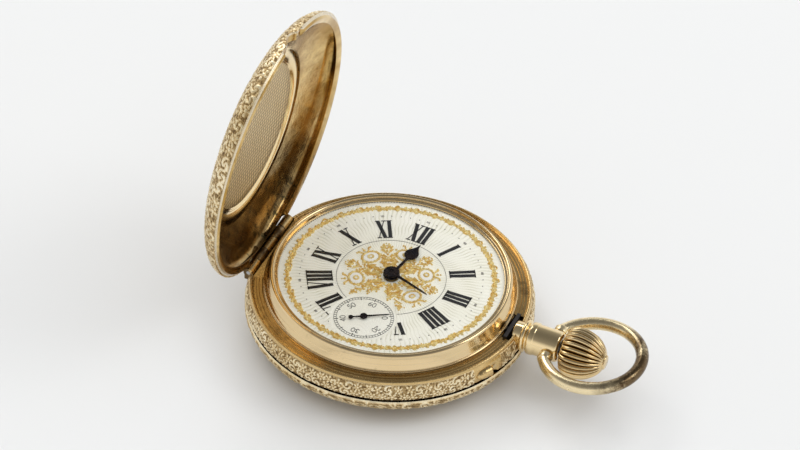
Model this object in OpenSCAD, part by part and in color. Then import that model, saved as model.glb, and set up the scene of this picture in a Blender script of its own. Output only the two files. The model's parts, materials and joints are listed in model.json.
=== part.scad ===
// Hunter pocket watch: keyless, pin-set, with a lever movement, a hinged front cover
// standing open, a hinged rear cover and a hinged inner dust cover.
// The origin is the centre of the rear cover's flat rest face. +Z comes out of the dial,
// +X points to III and the pendant, +Y to XII.

/* [Case] */
// Diameter of the case over the engraved band
case_d = 49.6; // [49:0.1:51]
// Height of the dial's upper face above the rest face
dial_z = 11.5; // [11.4:0.05:11.7]
// Thickness of the cover shells
cover_wall = 0.55; // [0.5:0.05:0.65]
// Outer diameter of the front cover at its widest
cover_d = 48.2; // [47.8:0.1:48.4]
// Height of the front cover's dome above its rim
cover_h = 6.1; // [5.9:0.1:6.4]
// Fullness of the covers' shoulders, 2 is an ellipse
cover_fullness = 2.6; // [2.5:0.05:2.9]
// Angle the front cover stands open at
cover_open = 85; // [60:1:88]

/* [Pendant and bow] */
// Height of the winding axis above the rest face
stem_z = 8.3; // [8.2:0.05:8.4]
// Outer diameter of the pendant tube
pendant_d = 5.4; // [5.2:0.1:5.6]
// Distance of the bow's pivots from the case centre
bow_pivot_x = 30.2; // [30:0.1:30.4]
// Centreline radius of the bow's loop
bow_r = 8.3; // [8.1:0.1:8.6]
// Thickness of the bow's wire
bow_wire = 2.2; // [2:0.1:2.3]
// Angle the bow is lifted above the watch's plane
bow_lift = 5; // [0:1:20]
// Greatest diameter of the crown
crown_d = 8.7; // [8.2:0.1:8.8]
// Number of flutes around the crown
crown_flutes = 26; // [20:1:30]

/* [Dial and hands] */
// Diameter of the dial plate
dial_d = 40.4; // [40:0.1:40.5]
// Distance from the dial's centre to the seconds hand
seconds_y = 11.3; // [11.2:0.05:11.4]
// Position of the hour hand, degrees clockwise from XII
hour_angle = 9; // [0:1:359]
// Position of the minute hand, degrees clockwise from XII
minute_angle = 108; // [0:1:359]
// Position of the seconds hand, degrees clockwise from 60
seconds_angle = 58; // [0:1:359]

/* [Movement] */
// Diameter of the main plate
plate_d = 41; // [40.8:0.1:41.2]
// Share of the tooth pitch that a tooth fills
tooth_fill = 0.36; // [0.3:0.01:0.38]

/* [Hidden] */
$fn = 64;
eps = 0.01;

gold = "#c9a559";
pale_gold = "#d8bd7e";
brass = "#cba855";
steel = "#8d9096";
blue_steel = "#2b3350";
ruby = "#b3263f";

// Case levels and radii
case_r = case_d / 2;
cover_r = cover_d / 2;
rim_z = 9.3;
rear_rim_z = 5.6;
ledge_z = 9.2;
band_low_z = 5.95;
bead_at = [24, 9.4];
bead_r = 0.26;
ring_low_z = 4.9;
spigot_r = 23.75;
seat_r = plate_d / 2 + 0.25;
opening_r = 20.1;
neck_r = 21.3;
neck_top_z = 10.3;
web_r = 23.2;
channel_low_z = 6.4;
channel_top_z = 8.3;
rear_r = 25;
rear_depth = 5.74;
rear_fullness = 2.5;
rest_r = 7.1;

// Hinges: x, z of each axis, knuckle radius, pin radius and running clearance
front_hinge = [-23.3, rim_z];
rear_hinge = [-24.3, rear_rim_z];
dust_hinge = [-22.2, 4.3];
knuckle_r = 0.9;
small_knuckle_r = 0.55;
pin_r = 0.35;
small_pin_r = 0.25;
run_gap = 0.03;
hinge_half = 8;
rear_hinge_half = 4.95;
dust_hinge_half = 4;

// Pendant, stem and crown
neck_bore_r = 1.35;
pendant_end_x = 31.7;
pendant_r = pendant_d / 2;
crown_base_x = 32.3;
crown_end_x = 39.9;
crown_r = crown_d / 2;
bow_pin_r = 0.5;
bow_end_r = 1.25;
bow_centre_x = bow_pivot_x + sqrt(bow_r * bow_r - 3.9 * 3.9);

// Setting pin and its guard
set_angle = -20;
guard_angle = -26.5;
set_z = 7.5;
set_pin_r = 0.42;

// Case springs
spring_screws_at = [56, 119];
spring_screw_z = 7.35;

// Movement levels
plate_z = [8.6, 10.2];
bridge_z = [4.6, 5.7];
cock_z = [4.4, 5.3];
bridge_r = 19.7;

// Train centres, modules and tooth counts
barrel_teeth = 72;
centre_leaves = 12;
centre_teeth = 80;
third_leaves = 10;
third_teeth = 75;
fourth_leaves = 10;
fourth_teeth = 80;
escape_leaves = 8;
escape_teeth = 15;
barrel_mod = 0.243;
centre_mod = 0.165;
third_mod = 0.16;
fourth_mod = 0.135;
centre_at = [0, 0];
fourth_at = [0, -seconds_y];
barrel_dir = 62;
barrel_reach = barrel_mod * (barrel_teeth + centre_leaves) / 2;
barrel_at = barrel_reach * [cos(barrel_dir), sin(barrel_dir)];
third_from_centre = centre_mod * (centre_teeth + third_leaves) / 2;
third_from_fourth = third_mod * (third_teeth + fourth_leaves) / 2;
third_y = -(seconds_y ^ 2 + third_from_centre ^ 2 - third_from_fourth ^ 2) / (2 * seconds_y);
third_at = [sqrt(third_from_centre ^ 2 - third_y ^ 2), third_y];
escape_reach = fourth_mod * (fourth_teeth + escape_leaves) / 2;
escape_dir = 165;
escape_at = fourth_at + escape_reach * [cos(escape_dir), sin(escape_dir)];
escape_r = 3.3;
lever_dir = 145;
pallet_at = escape_at + escape_r / cos(30) * [cos(lever_dir), sin(lever_dir)];
balance_at = escape_at + 8 * [cos(lever_dir), sin(lever_dir)];
balance_r = 6.4;

// Motion work under the dial
cannon_leaves = 12;
minute_teeth = 36;
minute_leaves = 10;
hour_teeth = 40;
motion_reach = 4;
cannon_mod = 2 * motion_reach / (cannon_leaves + minute_teeth);
hour_mod = 2 * motion_reach / (minute_leaves + hour_teeth);
motion_dir = 20;
minute_at = motion_reach * [cos(motion_dir), sin(motion_dir)];

// Winding work
contrate_teeth = 35;
pinion_leaves = 16;
crown_teeth = 30;
ratchet_teeth = 45;
contrate_at = [12, 0];
contrate_r = 4.375;
pinion_r = 2.15;
pinion_x = contrate_at[0] + contrate_r;
winding_mod = 2 * norm(contrate_at - barrel_at) / (crown_teeth + ratchet_teeth);
ratchet_dir = atan2(contrate_at[1] - barrel_at[1], contrate_at[0] - barrel_at[0]);
winding_z = [4.05, 4.55];
click_dir = 150;
click_at = barrel_at + 9 * [cos(click_dir), sin(click_dir)];

// Screw positions
barrel_bridge_feet = [[17.3, 6.6], [-13.5, 12], [-3.5, 17.5]];
train_bridge_feet = [[16, -10], [7.5, -17], [-5, -17.5]];
cock_foot = [-12.1, -13.6];
foot_r = 1.6;
pallet_foot_reach = 2.7;

// ---------- Helpers ----------

function polar(r, a) = [r * cos(a), r * sin(a)];
function dir_to(a, b) = atan2(b[1] - a[1], b[0] - a[0]);

// Quarter of a superellipse from the rim to the crown of a dome
function dome(r, h, n, from, steps) =
    [for (i = [0 : steps]) let (t = from + (90 - from) * i / steps)
        [r * cos(t) ^ (2 / n), h * sin(t) ^ (2 / n)]];

function backwards(list) = [for (i = [len(list) - 1 : -1 : 0]) list[i]];

module at(p, z = 0) translate([p[0], p[1], z]) children();

module disc(r, z0, z1) translate([0, 0, z0]) cylinder(r = r, h = z1 - z0);

module ring(r_in, r_out, z0, z1) difference() {
    disc(r_out, z0, z1);
    disc(r_in, z0 - 1, z1 + 1);
}

// Solid of revolution about the winding axis from [x, r] points
module turned_on_x(points) translate([0, 0, stem_z]) rotate([90, 0, 90])
    rotate_extrude() polygon([for (p = points) [p[1], p[0]]]);

// Cylinder along X on the winding axis
module rod_x(r, x0, x1) translate([x0, 0, stem_z]) rotate([0, 90, 0]) cylinder(r = r, h = x1 - x0);

// Cylinder along Y about a hinge axis given as [x, z]
module rod_y(axis, r, y0, y1) translate([axis[0], y1, axis[1]]) rotate([90, 0, 0])
    cylinder(r = r, h = y1 - y0);

// Box between two corners
module block(a, b) translate(a) cube(b - a);

// Straight-toothed gear outline with a tooth centred on the angle given
module gear_outline(teeth, mod, phase) {
    pitch = 360 / teeth;
    r_pitch = mod * teeth / 2;
    r_tip = r_pitch + 0.8 * mod;
    r_root = r_pitch - 1.1 * mod;
    root_half = pitch * (tooth_fill / 2 + 0.07);
    tip_half = pitch * (tooth_fill / 2 - 0.09);
    polygon([for (i = [0 : teeth - 1]) let (a = phase + i * pitch)
        each [polar(r_root, a - root_half), polar(r_tip, a - tip_half),
            polar(r_tip, a + tip_half), polar(r_root, a + root_half)]]);
}

// Gear with crossings cut out of its web
module crossed_wheel(teeth, mod, phase, z0, z1, spokes, hub_r, rim) {
    r_rim = mod * teeth / 2 - 1.1 * mod - rim;
    translate([0, 0, z0]) linear_extrude(z1 - z0) difference() {
        gear_outline(teeth, mod, phase);
        difference() {
            circle(r = r_rim);
            circle(r = hub_r);
            for (i = [0 : spokes - 1]) rotate(i * 360 / spokes) translate([0, -0.3])
                square([r_rim + 0.2, 0.6]);
        }
    }
}

module pinion(leaves, mod, phase, z0, z1) translate([0, 0, z0]) linear_extrude(z1 - z0)
    gear_outline(leaves, mod, phase);

// Arbor with a thinner pivot at each end
module arbor(r, z0, z1, pivot_r = 0.15, pivot = 0.45) {
    disc(r, z0 + pivot, z1 - pivot);
    disc(pivot_r, z0, z1);
}

// Slotted screw with its head at the low end
module screw(head_r, head_h, shank_r, shank_h) difference() {
    union() {
        cylinder(r = head_r, h = head_h);
        cylinder(r = shank_r, h = head_h + shank_h);
    }
    translate([-head_r - 1, -head_r * 0.14, -1]) cube([2 * head_r + 2, head_r * 0.28, 1 + head_h / 2]);
}

// Plate strip with round ends between two points
module strip(a, ra, b, rb, z0, z1) {
    side = polar(1, dir_to(a, b) + 90);
    at(a) disc(ra, z0, z1);
    at(b) disc(rb, z0, z1);
    translate([0, 0, z0]) linear_extrude(z1 - z0)
        polygon([a + ra * side, a - ra * side, b - rb * side, b + rb * side]);
}

// ---------- Case ----------

module front_cover_closed() {
    inner = dome(cover_r - cover_wall - 0.1, cover_h - cover_wall, cover_fullness, 10, 12);
    outer = dome(cover_r, cover_h, cover_fullness, 8, 12);
    lip_in = 22.15;
    difference() {
        translate([0, 0, rim_z]) rotate_extrude($fn = 96)
            polygon(concat([[lip_in, 0], [23.3, 0], [23.8, 0.6]], outer, backwards(inner),
                [[lip_in, 0.7]]));
        rod_y(front_hinge, 1.35, -hinge_half - 0.15, hinge_half + 0.15);
        rod_x(2.5, 22.3, 30);
        block([21.9, -3.7, rim_z - 1], [web_r + 0.25, 3.7, rim_z + 0.95]);
    }
}

module cover_knuckle(y0, y1) difference() {
    union() {
        rod_y(front_hinge, knuckle_r, y0, y1);
        block([front_hinge[0] - 0.5, y0, rim_z + 0.3], [front_hinge[0] + 0.4, y1, rim_z + 2.1]);
    }
    rod_y(front_hinge, pin_r + run_gap, y0 - 1, y1 + 1);
}

module front_cover() color(gold)
    translate([front_hinge[0], 0, front_hinge[1]]) rotate([0, -cover_open, 0])
    translate([-front_hinge[0], 0, -front_hinge[1]]) {
        front_cover_closed();
        cover_knuckle(-4.8, -1.7);
        cover_knuckle(1.7, 4.8);
    }

module front_hinge_pin() color(steel) rod_y(front_hinge, pin_r, -hinge_half, hinge_half);

module rear_cover_shell() {
    outer = dome(rear_r, rear_depth, rear_fullness, 8, 14);
    inner = dome(rear_r - cover_wall - 0.1, rear_depth - cover_wall - 0.15, rear_fullness, 12, 12);
    kept = [for (p = outer) if (p[1] < rear_rim_z && p[0] > rest_r) p];
    rotate_extrude($fn = 96) polygon(concat(
        [[23.95, rear_rim_z], [24.75, rear_rim_z]],
        [for (p = kept) [p[0], rear_rim_z - p[1]]],
        [[rest_r, 0], [0, 0]],
        [for (p = backwards(inner)) [max(p[0], 0), rear_rim_z - p[1]]]));
}

module rear_knuckle(y0, y1) difference() {
    union() {
        rod_y(rear_hinge, 0.75, y0, y1);
        block([rear_hinge[0] - 0.35, y0, rear_rim_z - 1.9], [rear_hinge[0] + 0.3, y1, rear_rim_z - 0.3]);
    }
    rod_y(rear_hinge, pin_r + run_gap, y0 - 1, y1 + 1);
}

module rear_cover() color(gold) {
    difference() {
        rear_cover_shell();
        rod_y(rear_hinge, 1.15, -rear_hinge_half - 0.15, rear_hinge_half + 0.15);
        rod_x(3.05, 22, 30);
    }
    rear_knuckle(-1.6, 1.6);
}

module rear_hinge_pin() color(steel)
    rod_y(rear_hinge, pin_r, -rear_hinge_half, rear_hinge_half);

module dust_cover() color(pale_gold) {
    difference() {
        rotate_extrude($fn = 96) polygon([[0, 2.25], [10, 2.35], [16, 2.6], [20, 3.05], [21, 3.6],
            [21.3, 4.8], [20.85, 4.8], [20.6, 3.85], [19.8, 3.5], [16, 3.05], [10, 2.8], [0, 2.7]]);
        rod_y(dust_hinge, 0.75, -dust_hinge_half, dust_hinge_half);
    }
    difference() {
        union() {
            rod_y(dust_hinge, small_knuckle_r, -1.3, 1.3);
            block([dust_hinge[0], -1.3, 3.9], [-21.0, 1.3, 4.4]);
        }
        rod_y(dust_hinge, small_pin_r + run_gap, -2, 2);
    }
}

module dust_cover_hinge_pin() color(steel)
    rod_y(dust_hinge, small_pin_r, -dust_hinge_half, dust_hinge_half);

module mid_case_ring() rotate_extrude($fn = 96) polygon(concat(
    [[opening_r, ring_low_z], [spigot_r, ring_low_z], [spigot_r, band_low_z],
        [case_r - 0.25, band_low_z], [case_r - 0.05, 6.4], [case_r, 7.1], [case_r - 0.05, 7.9],
        [case_r - 0.25, 8.7], [case_r - 0.5, 9.2]],
    [for (t = [-10 : 20 : 190]) [bead_at[0], bead_at[1]] + polar(bead_r, t)],
    [[23.6, ledge_z], [neck_r, ledge_z],
        [neck_r, neck_top_z], [seat_r, neck_top_z], [seat_r, plate_z[0]], [opening_r, plate_z[0]],
        [opening_r, channel_top_z], [web_r, channel_top_z], [web_r, channel_low_z],
        [opening_r, channel_low_z]]));

// Fixed knuckle on the case with the web that holds it
module case_knuckle(axis, r, hole_r, y0, y1, web_from, web_to) difference() {
    union() {
        rod_y(axis, r, y0, y1);
        block([web_from[0], y0, web_from[1]], [web_to[0], y1, web_to[1]]);
    }
    rod_y(axis, hole_r, y0 - 1, y1 + 1);
}

// Bullet-shaped lug beside the set pin, with its nose towards VI
module set_pin_guard() rotate(guard_angle) translate([case_r - 0.2, -1.5, set_z])
    rotate([-90, 0, 0]) rotate_extrude() polygon([[0, 0], [0.35, 0.12], [0.68, 0.5], [0.9, 1.05],
        [0.98, 1.7], [1, 3], [0, 3]]);

module mid_case() color(gold) {
    difference() {
        mid_case_ring();
        block([-26, -hinge_half - 0.15, 7.9], [-22.2, hinge_half + 0.15, 12]);
        block([-26, -rear_hinge_half - 0.1, 4], [-23.25, rear_hinge_half + 0.1, 7]);
        rod_x(neck_bore_r, 19, 26);
        rod_x(2.3, web_r, 26);
        block([21.85, -3.5, channel_top_z - 0.5], [web_r + 0.3, 3.5, ledge_z + 0.3]);
        rotate(set_angle) translate([20, 0, set_z]) rotate([0, 90, 0])
            cylinder(r = set_pin_r + run_gap, h = 8);
        rotate(set_angle) translate([case_r + 0.35, 0, band_low_z - 1]) cylinder(r = 1.15, h = 3.3);
        for (a = [100, 280]) rotate(a) translate([plate_d / 2, 0, plate_z[0] - 1])
            cylinder(r = 1.45, h = 5);
    }
    difference() {
        set_pin_guard();
        mid_case_ring();
    }
    for (y = [[-8, -4.9], [-1.6, 1.6], [4.9, 8]])
        case_knuckle(front_hinge, knuckle_r, pin_r + eps, y[0], y[1],
            [front_hinge[0] - 0.7, 7.8], [front_hinge[0] + 0.9, rim_z]);
    for (y = [-4.95, 1.7]) case_knuckle(rear_hinge, 0.75, pin_r + eps, y, y + 3.25,
        [rear_hinge[0] - 0.1, rear_rim_z], [rear_hinge[0] + 1.2, 7.1]);
    for (y = [-4, 1.4]) case_knuckle(dust_hinge, small_knuckle_r, small_pin_r + eps, y, y + 2.6,
        [dust_hinge[0] - 0.5, dust_hinge[1]], [dust_hinge[0] + 0.5, ring_low_z + 0.2]);
}

module bezel() color(gold) rotate_extrude($fn = 96) polygon([
    [neck_r + 0.02, ledge_z + 0.05], [21.9, ledge_z + 0.05], [21.9, 9.6], [20.7, 12.25],
    [20.45, 12.4], [20.2, 12.35], [20.05, 12.2], [20.05, 11.95], [19.4, 11.95], [19.4, 11.65],
    [20.6, 11.65], [neck_r + 0.02, 10.9]]);

// Height at radius r of a shallow dome cut from a ball
function dome_z(ball_r, top_z, r) = top_z - ball_r + sqrt(ball_r ^ 2 - r ^ 2);

module crystal() color([0.85, 0.92, 0.95, 0.35]) {
    top_z = 13.75;
    seat_z = 11.97;
    glass_r = 20;
    wall = 0.5;
    ball_r = 138.66;
    lip_r = 18.76;
    steps = 12;
    rotate_extrude($fn = 128) polygon(concat(
        [for (i = [0 : steps]) let (r = glass_r * i / steps) [r, dome_z(ball_r, top_z, r)]],
        [[glass_r, seat_z], [lip_r, seat_z]],
        [for (i = [steps - 1 : -1 : 0]) let (r = lip_r * i / steps)
            [r, dome_z(ball_r - wall, top_z - wall, r)]]));
}

module pendant() color(gold) {
    embed_x = 23.25;
    difference() {
        turned_on_x([[embed_x, neck_bore_r], [embed_x, 2.25], [24.95, 2.25], [25, 2.85], [25.5, 2.85],
            [25.7, 2.3], [26, 2.3], [26.15, 2.85], [27.1, 2.85], [27.3, pendant_r],
            [31.3, pendant_r], [pendant_end_x, pendant_r - 0.3], [pendant_end_x, neck_bore_r]]);
        translate([bow_pivot_x, 0, stem_z]) rotate([90, 0, 0])
            cylinder(r = bow_pin_r + 0.06, h = 8, center = true);
    }
}

module crown() color(gold) difference() {
    turned_on_x([[crown_base_x + 1.6, 0], [crown_base_x + 1.6, 2.95], [crown_base_x, 2.95],
        [crown_base_x, 3.2], [crown_base_x + 0.4, 3.9], [crown_base_x + 1.2, crown_r - 0.08],
        [crown_base_x + 2.3, crown_r], [crown_base_x + 3.6, crown_r - 0.2],
        [crown_base_x + 4.9, crown_r - 0.75], [crown_base_x + 6, crown_r - 1.6],
        [crown_end_x - 0.8, 1.9], [crown_end_x - 0.5, 1.5], [crown_end_x, 1.4],
        [crown_end_x, 0]]);
    for (i = [0 : crown_flutes - 1])
        translate([0, 0, stem_z]) rotate([(i + 0.5) * 360 / crown_flutes, 0, 0])
            translate([crown_base_x + 0.5, 0, crown_r + 0.08]) rotate([0, 90, 0])
                cylinder(r = 0.28, h = 4, $fn = 16);
    rod_x(1, crown_base_x, crown_base_x + 3.4);
}

module crown_stem() color(steel) {
    rod_x(0.98, 24.6, crown_base_x + 3.3);
    block([19.9, -0.42, stem_z - 0.42], [24.7, 0.42, stem_z + 0.42]);
}

module bow() color(gold) translate([bow_pivot_x, 0, stem_z]) rotate([0, -bow_lift, 0]) {
    end_y = 3.9;
    half = asin(end_y / bow_r);
    translate([bow_centre_x - bow_pivot_x, 0, 0]) rotate(180 + half)
        rotate_extrude(angle = 360 - 2 * half, $fn = 96) translate([bow_r, 0]) circle(d = bow_wire);
    for (side = [-1, 1]) {
        translate([0, side * (end_y - 0.3), 0]) rotate([90, 0, 0])
            cylinder(r = bow_end_r, h = 1.5, center = true);
        translate([0, side * (end_y - 1.2), 0]) rotate([90, 0, 0])
            cylinder(r = bow_pin_r, h = 1.6, center = true);
    }
}

module spring_arc(r0, r1, z0, z1, from, to) rotate(from) rotate_extrude(angle = to - from, $fn = 96)
    translate([r0, z0]) square([r1 - r0, z1 - z0]);

module lock_spring() color(blue_steel) difference() {
    union() {
        spring_arc(21.3, 22.1, 6.6, 8.1, -3, 60);
        block([21.4, -3.2, 6.7], [22.1, 3.2, 8.2]);
        block([22.3, -3.2, 7.6], [22.95, 3.2, 9.75]);
        block([21.4, -3.2, 7.6], [22.95, 3.2, 8.2]);
    }
    rod_x(1.2, 20, 24);
    // Slot that lets the spring's foot give as the catch is drawn in
    rotate(spring_screws_at[0]) block([20.9, -0.78, spring_screw_z - 0.36],
        [22.5, 0.4, spring_screw_z + 0.36]);
}

module lift_spring() color(blue_steel) difference() {
    spring_arc(21.5, 22.3, 6.6, 8.1, 115, 177.5);
    rotate(spring_screws_at[1]) translate([20, 0, spring_screw_z]) rotate([0, 90, 0])
        cylinder(r = 0.31, h = 3);
}

// The shanks reach the wall of the case
module case_spring_screws() color(steel) for (a = spring_screws_at) rotate(a)
    translate([20.35, 0, spring_screw_z]) rotate([0, 90, 0]) screw(0.55, 0.35, 0.3, 2.45);

module set_pin() color(gold) rotate(set_angle) translate([20.9, 0, set_z]) rotate([0, 90, 0]) {
    cylinder(r = set_pin_r, h = case_r - 20.9 - 0.25);
    cylinder(r = 0.75, h = 0.4);
}

// ---------- Dial and hands ----------

module dial() color("#ece9e0") {
    difference() {
        disc(dial_d / 2, dial_z - 0.5, dial_z);
        at(fourth_at) disc(5.7, dial_z - 0.12, dial_z + 1);
        at(fourth_at) disc(0.35, 0, 20);
        disc(1.3, 0, 20);
    }
    for (a = [45, 165, 285]) at(polar(17.5, a)) disc(0.45, plate_z[0] + 0.4, dial_z - 0.4);
}

module hour_hand() color(blue_steel) rotate(-hour_angle) difference() {
    z = dial_z + 0.5;
    union() {
        disc(1.45, z, z + 0.22);
        translate([0, 0, z]) linear_extrude(0.18) {
            polygon([[-0.35, 1], [-0.22, 5.4], [0.22, 5.4], [0.35, 1]]);
            translate([0, 6.3]) circle(r = 1.15, $fn = 32);
            polygon([[-1.02, 6.9], [0, 9.2], [1.02, 6.9]]);
        }
    }
    disc(0.78, 0, 20);
}

module minute_hand() color(blue_steel) rotate(-minute_angle) difference() {
    z = dial_z + 0.95;
    union() {
        disc(1.4, z, z + 0.2);
        disc(1.1, z + 0.1, z + 0.35);
        translate([0, 0, z]) linear_extrude(0.16)
            polygon([[-0.3, 1], [-0.12, 7.9], [0, 8.1], [0.12, 7.9], [0.3, 1]]);
    }
    disc(0.52, 0, z + 0.25);
}

module seconds_hand() color(blue_steel) at(fourth_at) rotate(-seconds_angle) difference() {
    z = dial_z + 0.12;
    union() {
        disc(0.65, z, z + 0.25);
        translate([0, 0, z]) linear_extrude(0.12) {
            polygon([[-0.12, 0], [-0.05, 4.4], [0.05, 4.4], [0.12, 0]]);
            polygon([[-0.12, 0], [-0.1, -2], [0.1, -2], [0.12, 0]]);
            translate([0, -2.2]) circle(r = 0.42, $fn = 24);
        }
    }
    disc(0.19, 0, z + 0.1);
}

module cannon_pinion() color(steel) difference() {
    union() {
        pinion(cannon_leaves, cannon_mod, motion_dir, 10.28, 10.52);
        disc(0.52, 10.28, dial_z + 1.2);
    }
    disc(0.33, 10, dial_z + 1);
}

module hour_wheel() color(brass) difference() {
    union() {
        crossed_wheel(hour_teeth, hour_mod, motion_dir + 180 / hour_teeth, 10.62, 10.82, 4, 1.6, 0.5);
        disc(1, 10.62, dial_z + 0.45);
        disc(0.78, 10.62, dial_z + 0.72);
    }
    disc(0.58, 10, 20);
}

module minute_wheel() color(brass) at(minute_at) {
    difference() {
        union() {
            pinion(minute_teeth, cannon_mod, motion_dir + 180 + 180 / minute_teeth, 10.3, 10.5);
            pinion(minute_leaves, hour_mod, motion_dir + 180, 10.4, 10.86);
        }
        disc(0.28, 10, 11);
    }
}

// ---------- Plates ----------

module main_plate() color(brass) {
    difference() {
        disc(plate_d / 2, plate_z[0], plate_z[1]);
        disc(0.8, 0, 20);
        block([13.2, -2.4, 0], [17.3, 2.4, 20]);
        block([17, -1.35, 0], [22, 1.35, 9.65]);
        rod_x(0.95, 12, 22);
        for (p = [third_at, fourth_at, escape_at, pallet_at, balance_at])
            at(p) disc(0.75, 0, 9.3);
        for (p = [third_at, fourth_at, escape_at, pallet_at, balance_at]) at(p) disc(0.4, 0, 20);
        at(barrel_at) disc(0.93, 0, 20);
        for (a = [45, 165, 285]) at(polar(17.5, a)) disc(0.5, 0, 20);
        for (p = concat(barrel_bridge_feet, train_bridge_feet, [cock_foot])) at(p) disc(0.45, 0, 9.7);
        for (s = [-1, 1]) at(pallet_at + s * polar(pallet_foot_reach, lever_dir + 90)) disc(0.25, 0, 9.5);
        for (a = [100, 280]) at(polar(plate_d / 2 - 1.2, a)) disc(0.45, 0, 20);
    }
    at(minute_at) disc(0.25, plate_z[1] - 0.5, 10.95);
}

module bridge_blank(outline) intersection() {
    disc(bridge_r, bridge_z[0], bridge_z[1]);
    translate([0, 0, bridge_z[0]]) linear_extrude(bridge_z[1] - bridge_z[0]) polygon(outline);
}

module screwed_feet(feet) for (p = feet) intersection() {
    at(p) disc(foot_r, bridge_z[1] - 0.2, plate_z[0]);
    disc(bridge_r, 0, 20);
}

module screw_holes(feet) for (p = feet) {
    at(p) disc(0.4, 0, 20);
    at(p) disc(0.95, 0, bridge_z[0] + 0.45);
}

module barrel_bridge() color(pale_gold) difference() {
    union() {
        bridge_blank([[-21, 7], [-3.2, 4.2], [3, 2.2], [6.4, -5.4], [21, -5.4], [21, 21], [-21, 21]]);
        screwed_feet(barrel_bridge_feet);
    }
    screw_holes(barrel_bridge_feet);
    at(barrel_at) disc(1.03, 0, 20);
    at(contrate_at) disc(1.55, 0, 20);
    at(click_at) disc(0.33, 0, 20);
}

module train_bridge() color(pale_gold) difference() {
    union() {
        bridge_blank([[-5.4, 4.3], [-3.3, 3.9], [2.7, 1.9], [6.1, -5.7], [21, -5.7], [21, -21],
            [-9.2, -21], [-9.2, -10], [-5.4, -4]]);
        screwed_feet(train_bridge_feet);
    }
    at(balance_at) disc(6.95, 0, 20);
    screw_holes(train_bridge_feet);
    for (p = [centre_at, third_at, fourth_at, escape_at]) {
        at(p) disc(0.75, 0, bridge_z[0] + 0.6);
        at(p) disc(0.4, 0, 20);
    }
}

module balance_cock() color(pale_gold) difference() {
    union() {
        strip(cock_foot, foot_r, balance_at, 2.3, cock_z[0], cock_z[1]);
        at(cock_foot) disc(foot_r, cock_z[1] - 0.2, plate_z[0]);
    }
    at(cock_foot) disc(0.4, 0, 20);
    at(cock_foot) disc(0.95, 0, cock_z[0] + 0.45);
    at(balance_at) disc(0.75, 0, cock_z[0] + 0.5);
    at(balance_at) disc(0.45, 0, 20);
}

module pallet_cock() color(pale_gold) difference() {
    ends = [for (s = [-1, 1]) pallet_at + s * polar(pallet_foot_reach, lever_dir + 90)];
    union() {
        strip(ends[0], 0.7, pallet_at, 0.95, 6.82, 7.1);
        strip(ends[1], 0.7, pallet_at, 0.95, 6.82, 7.1);
        for (p = ends) at(p) disc(0.7, 7, plate_z[0]);
    }
    at(pallet_at) disc(0.5, 0, 20);
    for (p = ends) at(p) disc(0.22, 0, 20);
}

// ---------- Barrel and winding work ----------

module barrel() color(brass) at(barrel_at) difference() {
    union() {
        pinion(barrel_teeth, barrel_mod, barrel_dir + 180 + 180 / barrel_teeth, 7.9, 8.4);
        disc(8.2, 6.75, 8.4);
    }
    disc(7.75, 6, 8.15);
    disc(0.93, 6, 9);
}

module barrel_lid() color(brass) at(barrel_at) ring(0.93, 8.2, 6.5, 6.75);

module barrel_arbor() color(steel) at(barrel_at) {
    disc(0.9, winding_z[1] + 0.02, plate_z[1]);
    disc(2.2, 6.8, 8.1);
    translate([-0.6, -0.6, winding_z[0] + 0.05]) cube([1.2, 1.2, 0.6]);
}

module mainspring() color(steel) at(barrel_at) for (i = [0 : 7])
    ring(3.2 + i * 0.55, 3.35 + i * 0.55, 6.85, 8.1);

module ratchet_wheel() color(steel) at(barrel_at) difference() {
    pinion(ratchet_teeth, winding_mod, ratchet_dir, winding_z[0], winding_z[1]);
    translate([-0.61, -0.61, 0]) cube([1.22, 1.22, 20]);
    disc(1.3, 0, winding_z[0] + 0.04);
}

module ratchet_screw() color(steel) at(barrel_at, winding_z[0] - 0.4) screw(1.5, 0.4, 0.4, 0.04);

module crown_wheel() color(steel) at(contrate_at) difference() {
    pinion(crown_teeth, winding_mod, ratchet_dir + 180 + 180 / crown_teeth, winding_z[0], winding_z[1]);
    disc(0.6, 0, 20);
}

module contrate_wheel() color(steel) at(contrate_at) difference() {
    union() {
        disc(4.9, 5.75, 6.02);
        disc(1.45, winding_z[1], 5.9);
        for (i = [0 : contrate_teeth - 1]) rotate((i + 0.5) * 360 / contrate_teeth)
            block([3.95, -0.13, 6], [4.85, 0.13, 6.38]);
    }
    disc(0.5, 0, 20);
}

module crown_wheel_screw() color(steel) at(contrate_at, winding_z[0] - 0.4)
    screw(1.3, 0.4, 0.47, 2.2);

module click() color(blue_steel) difference() {
    beak = barrel_at + polar(winding_mod * (ratchet_teeth / 2 + 0.8) + 0.3, click_dir - 12);
    strip(click_at, 0.75, beak, 0.22, winding_z[0], winding_z[1]);
    at(click_at) disc(0.33, 0, 20);
}

module click_spring() color(blue_steel) {
    tip = click_at + polar(1.05, click_dir);
    root = barrel_at + polar(11.4, click_dir + 34);
    strip(root, 0.55, tip, 0.14, winding_z[0], winding_z[1]);
}

module winding_stem() color(steel) difference() {
    union() {
        rod_x(0.62, 12.6, 18.4);
        rod_x(1.1, 17.6, 21);
    }
    block([18.6, -0.47, stem_z - 0.47], [22, 0.47, stem_z + 0.47]);
}

// Radial leaves of a pinion on the winding axis, one leaf pointing straight down
module stem_gear(leaves, r_tip, r_root, tip_w, root_w, x0, x1) translate([x0, 0, stem_z])
    rotate([90, 0, 90]) linear_extrude(x1 - x0) difference() {
        union() {
            circle(r = r_root);
            for (i = [0 : leaves - 1]) rotate(i * 360 / leaves) polygon([[-root_w / 2, -r_root + 0.1],
                [-tip_w / 2, -r_tip], [tip_w / 2, -r_tip], [root_w / 2, -r_root + 0.1]]);
        }
        circle(r = 0.65);
    }

module winding_pinion() color(steel)
    stem_gear(pinion_leaves, pinion_r, 1.75, 0.2, 0.34, pinion_x - 0.45, pinion_x + 0.45);

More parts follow.
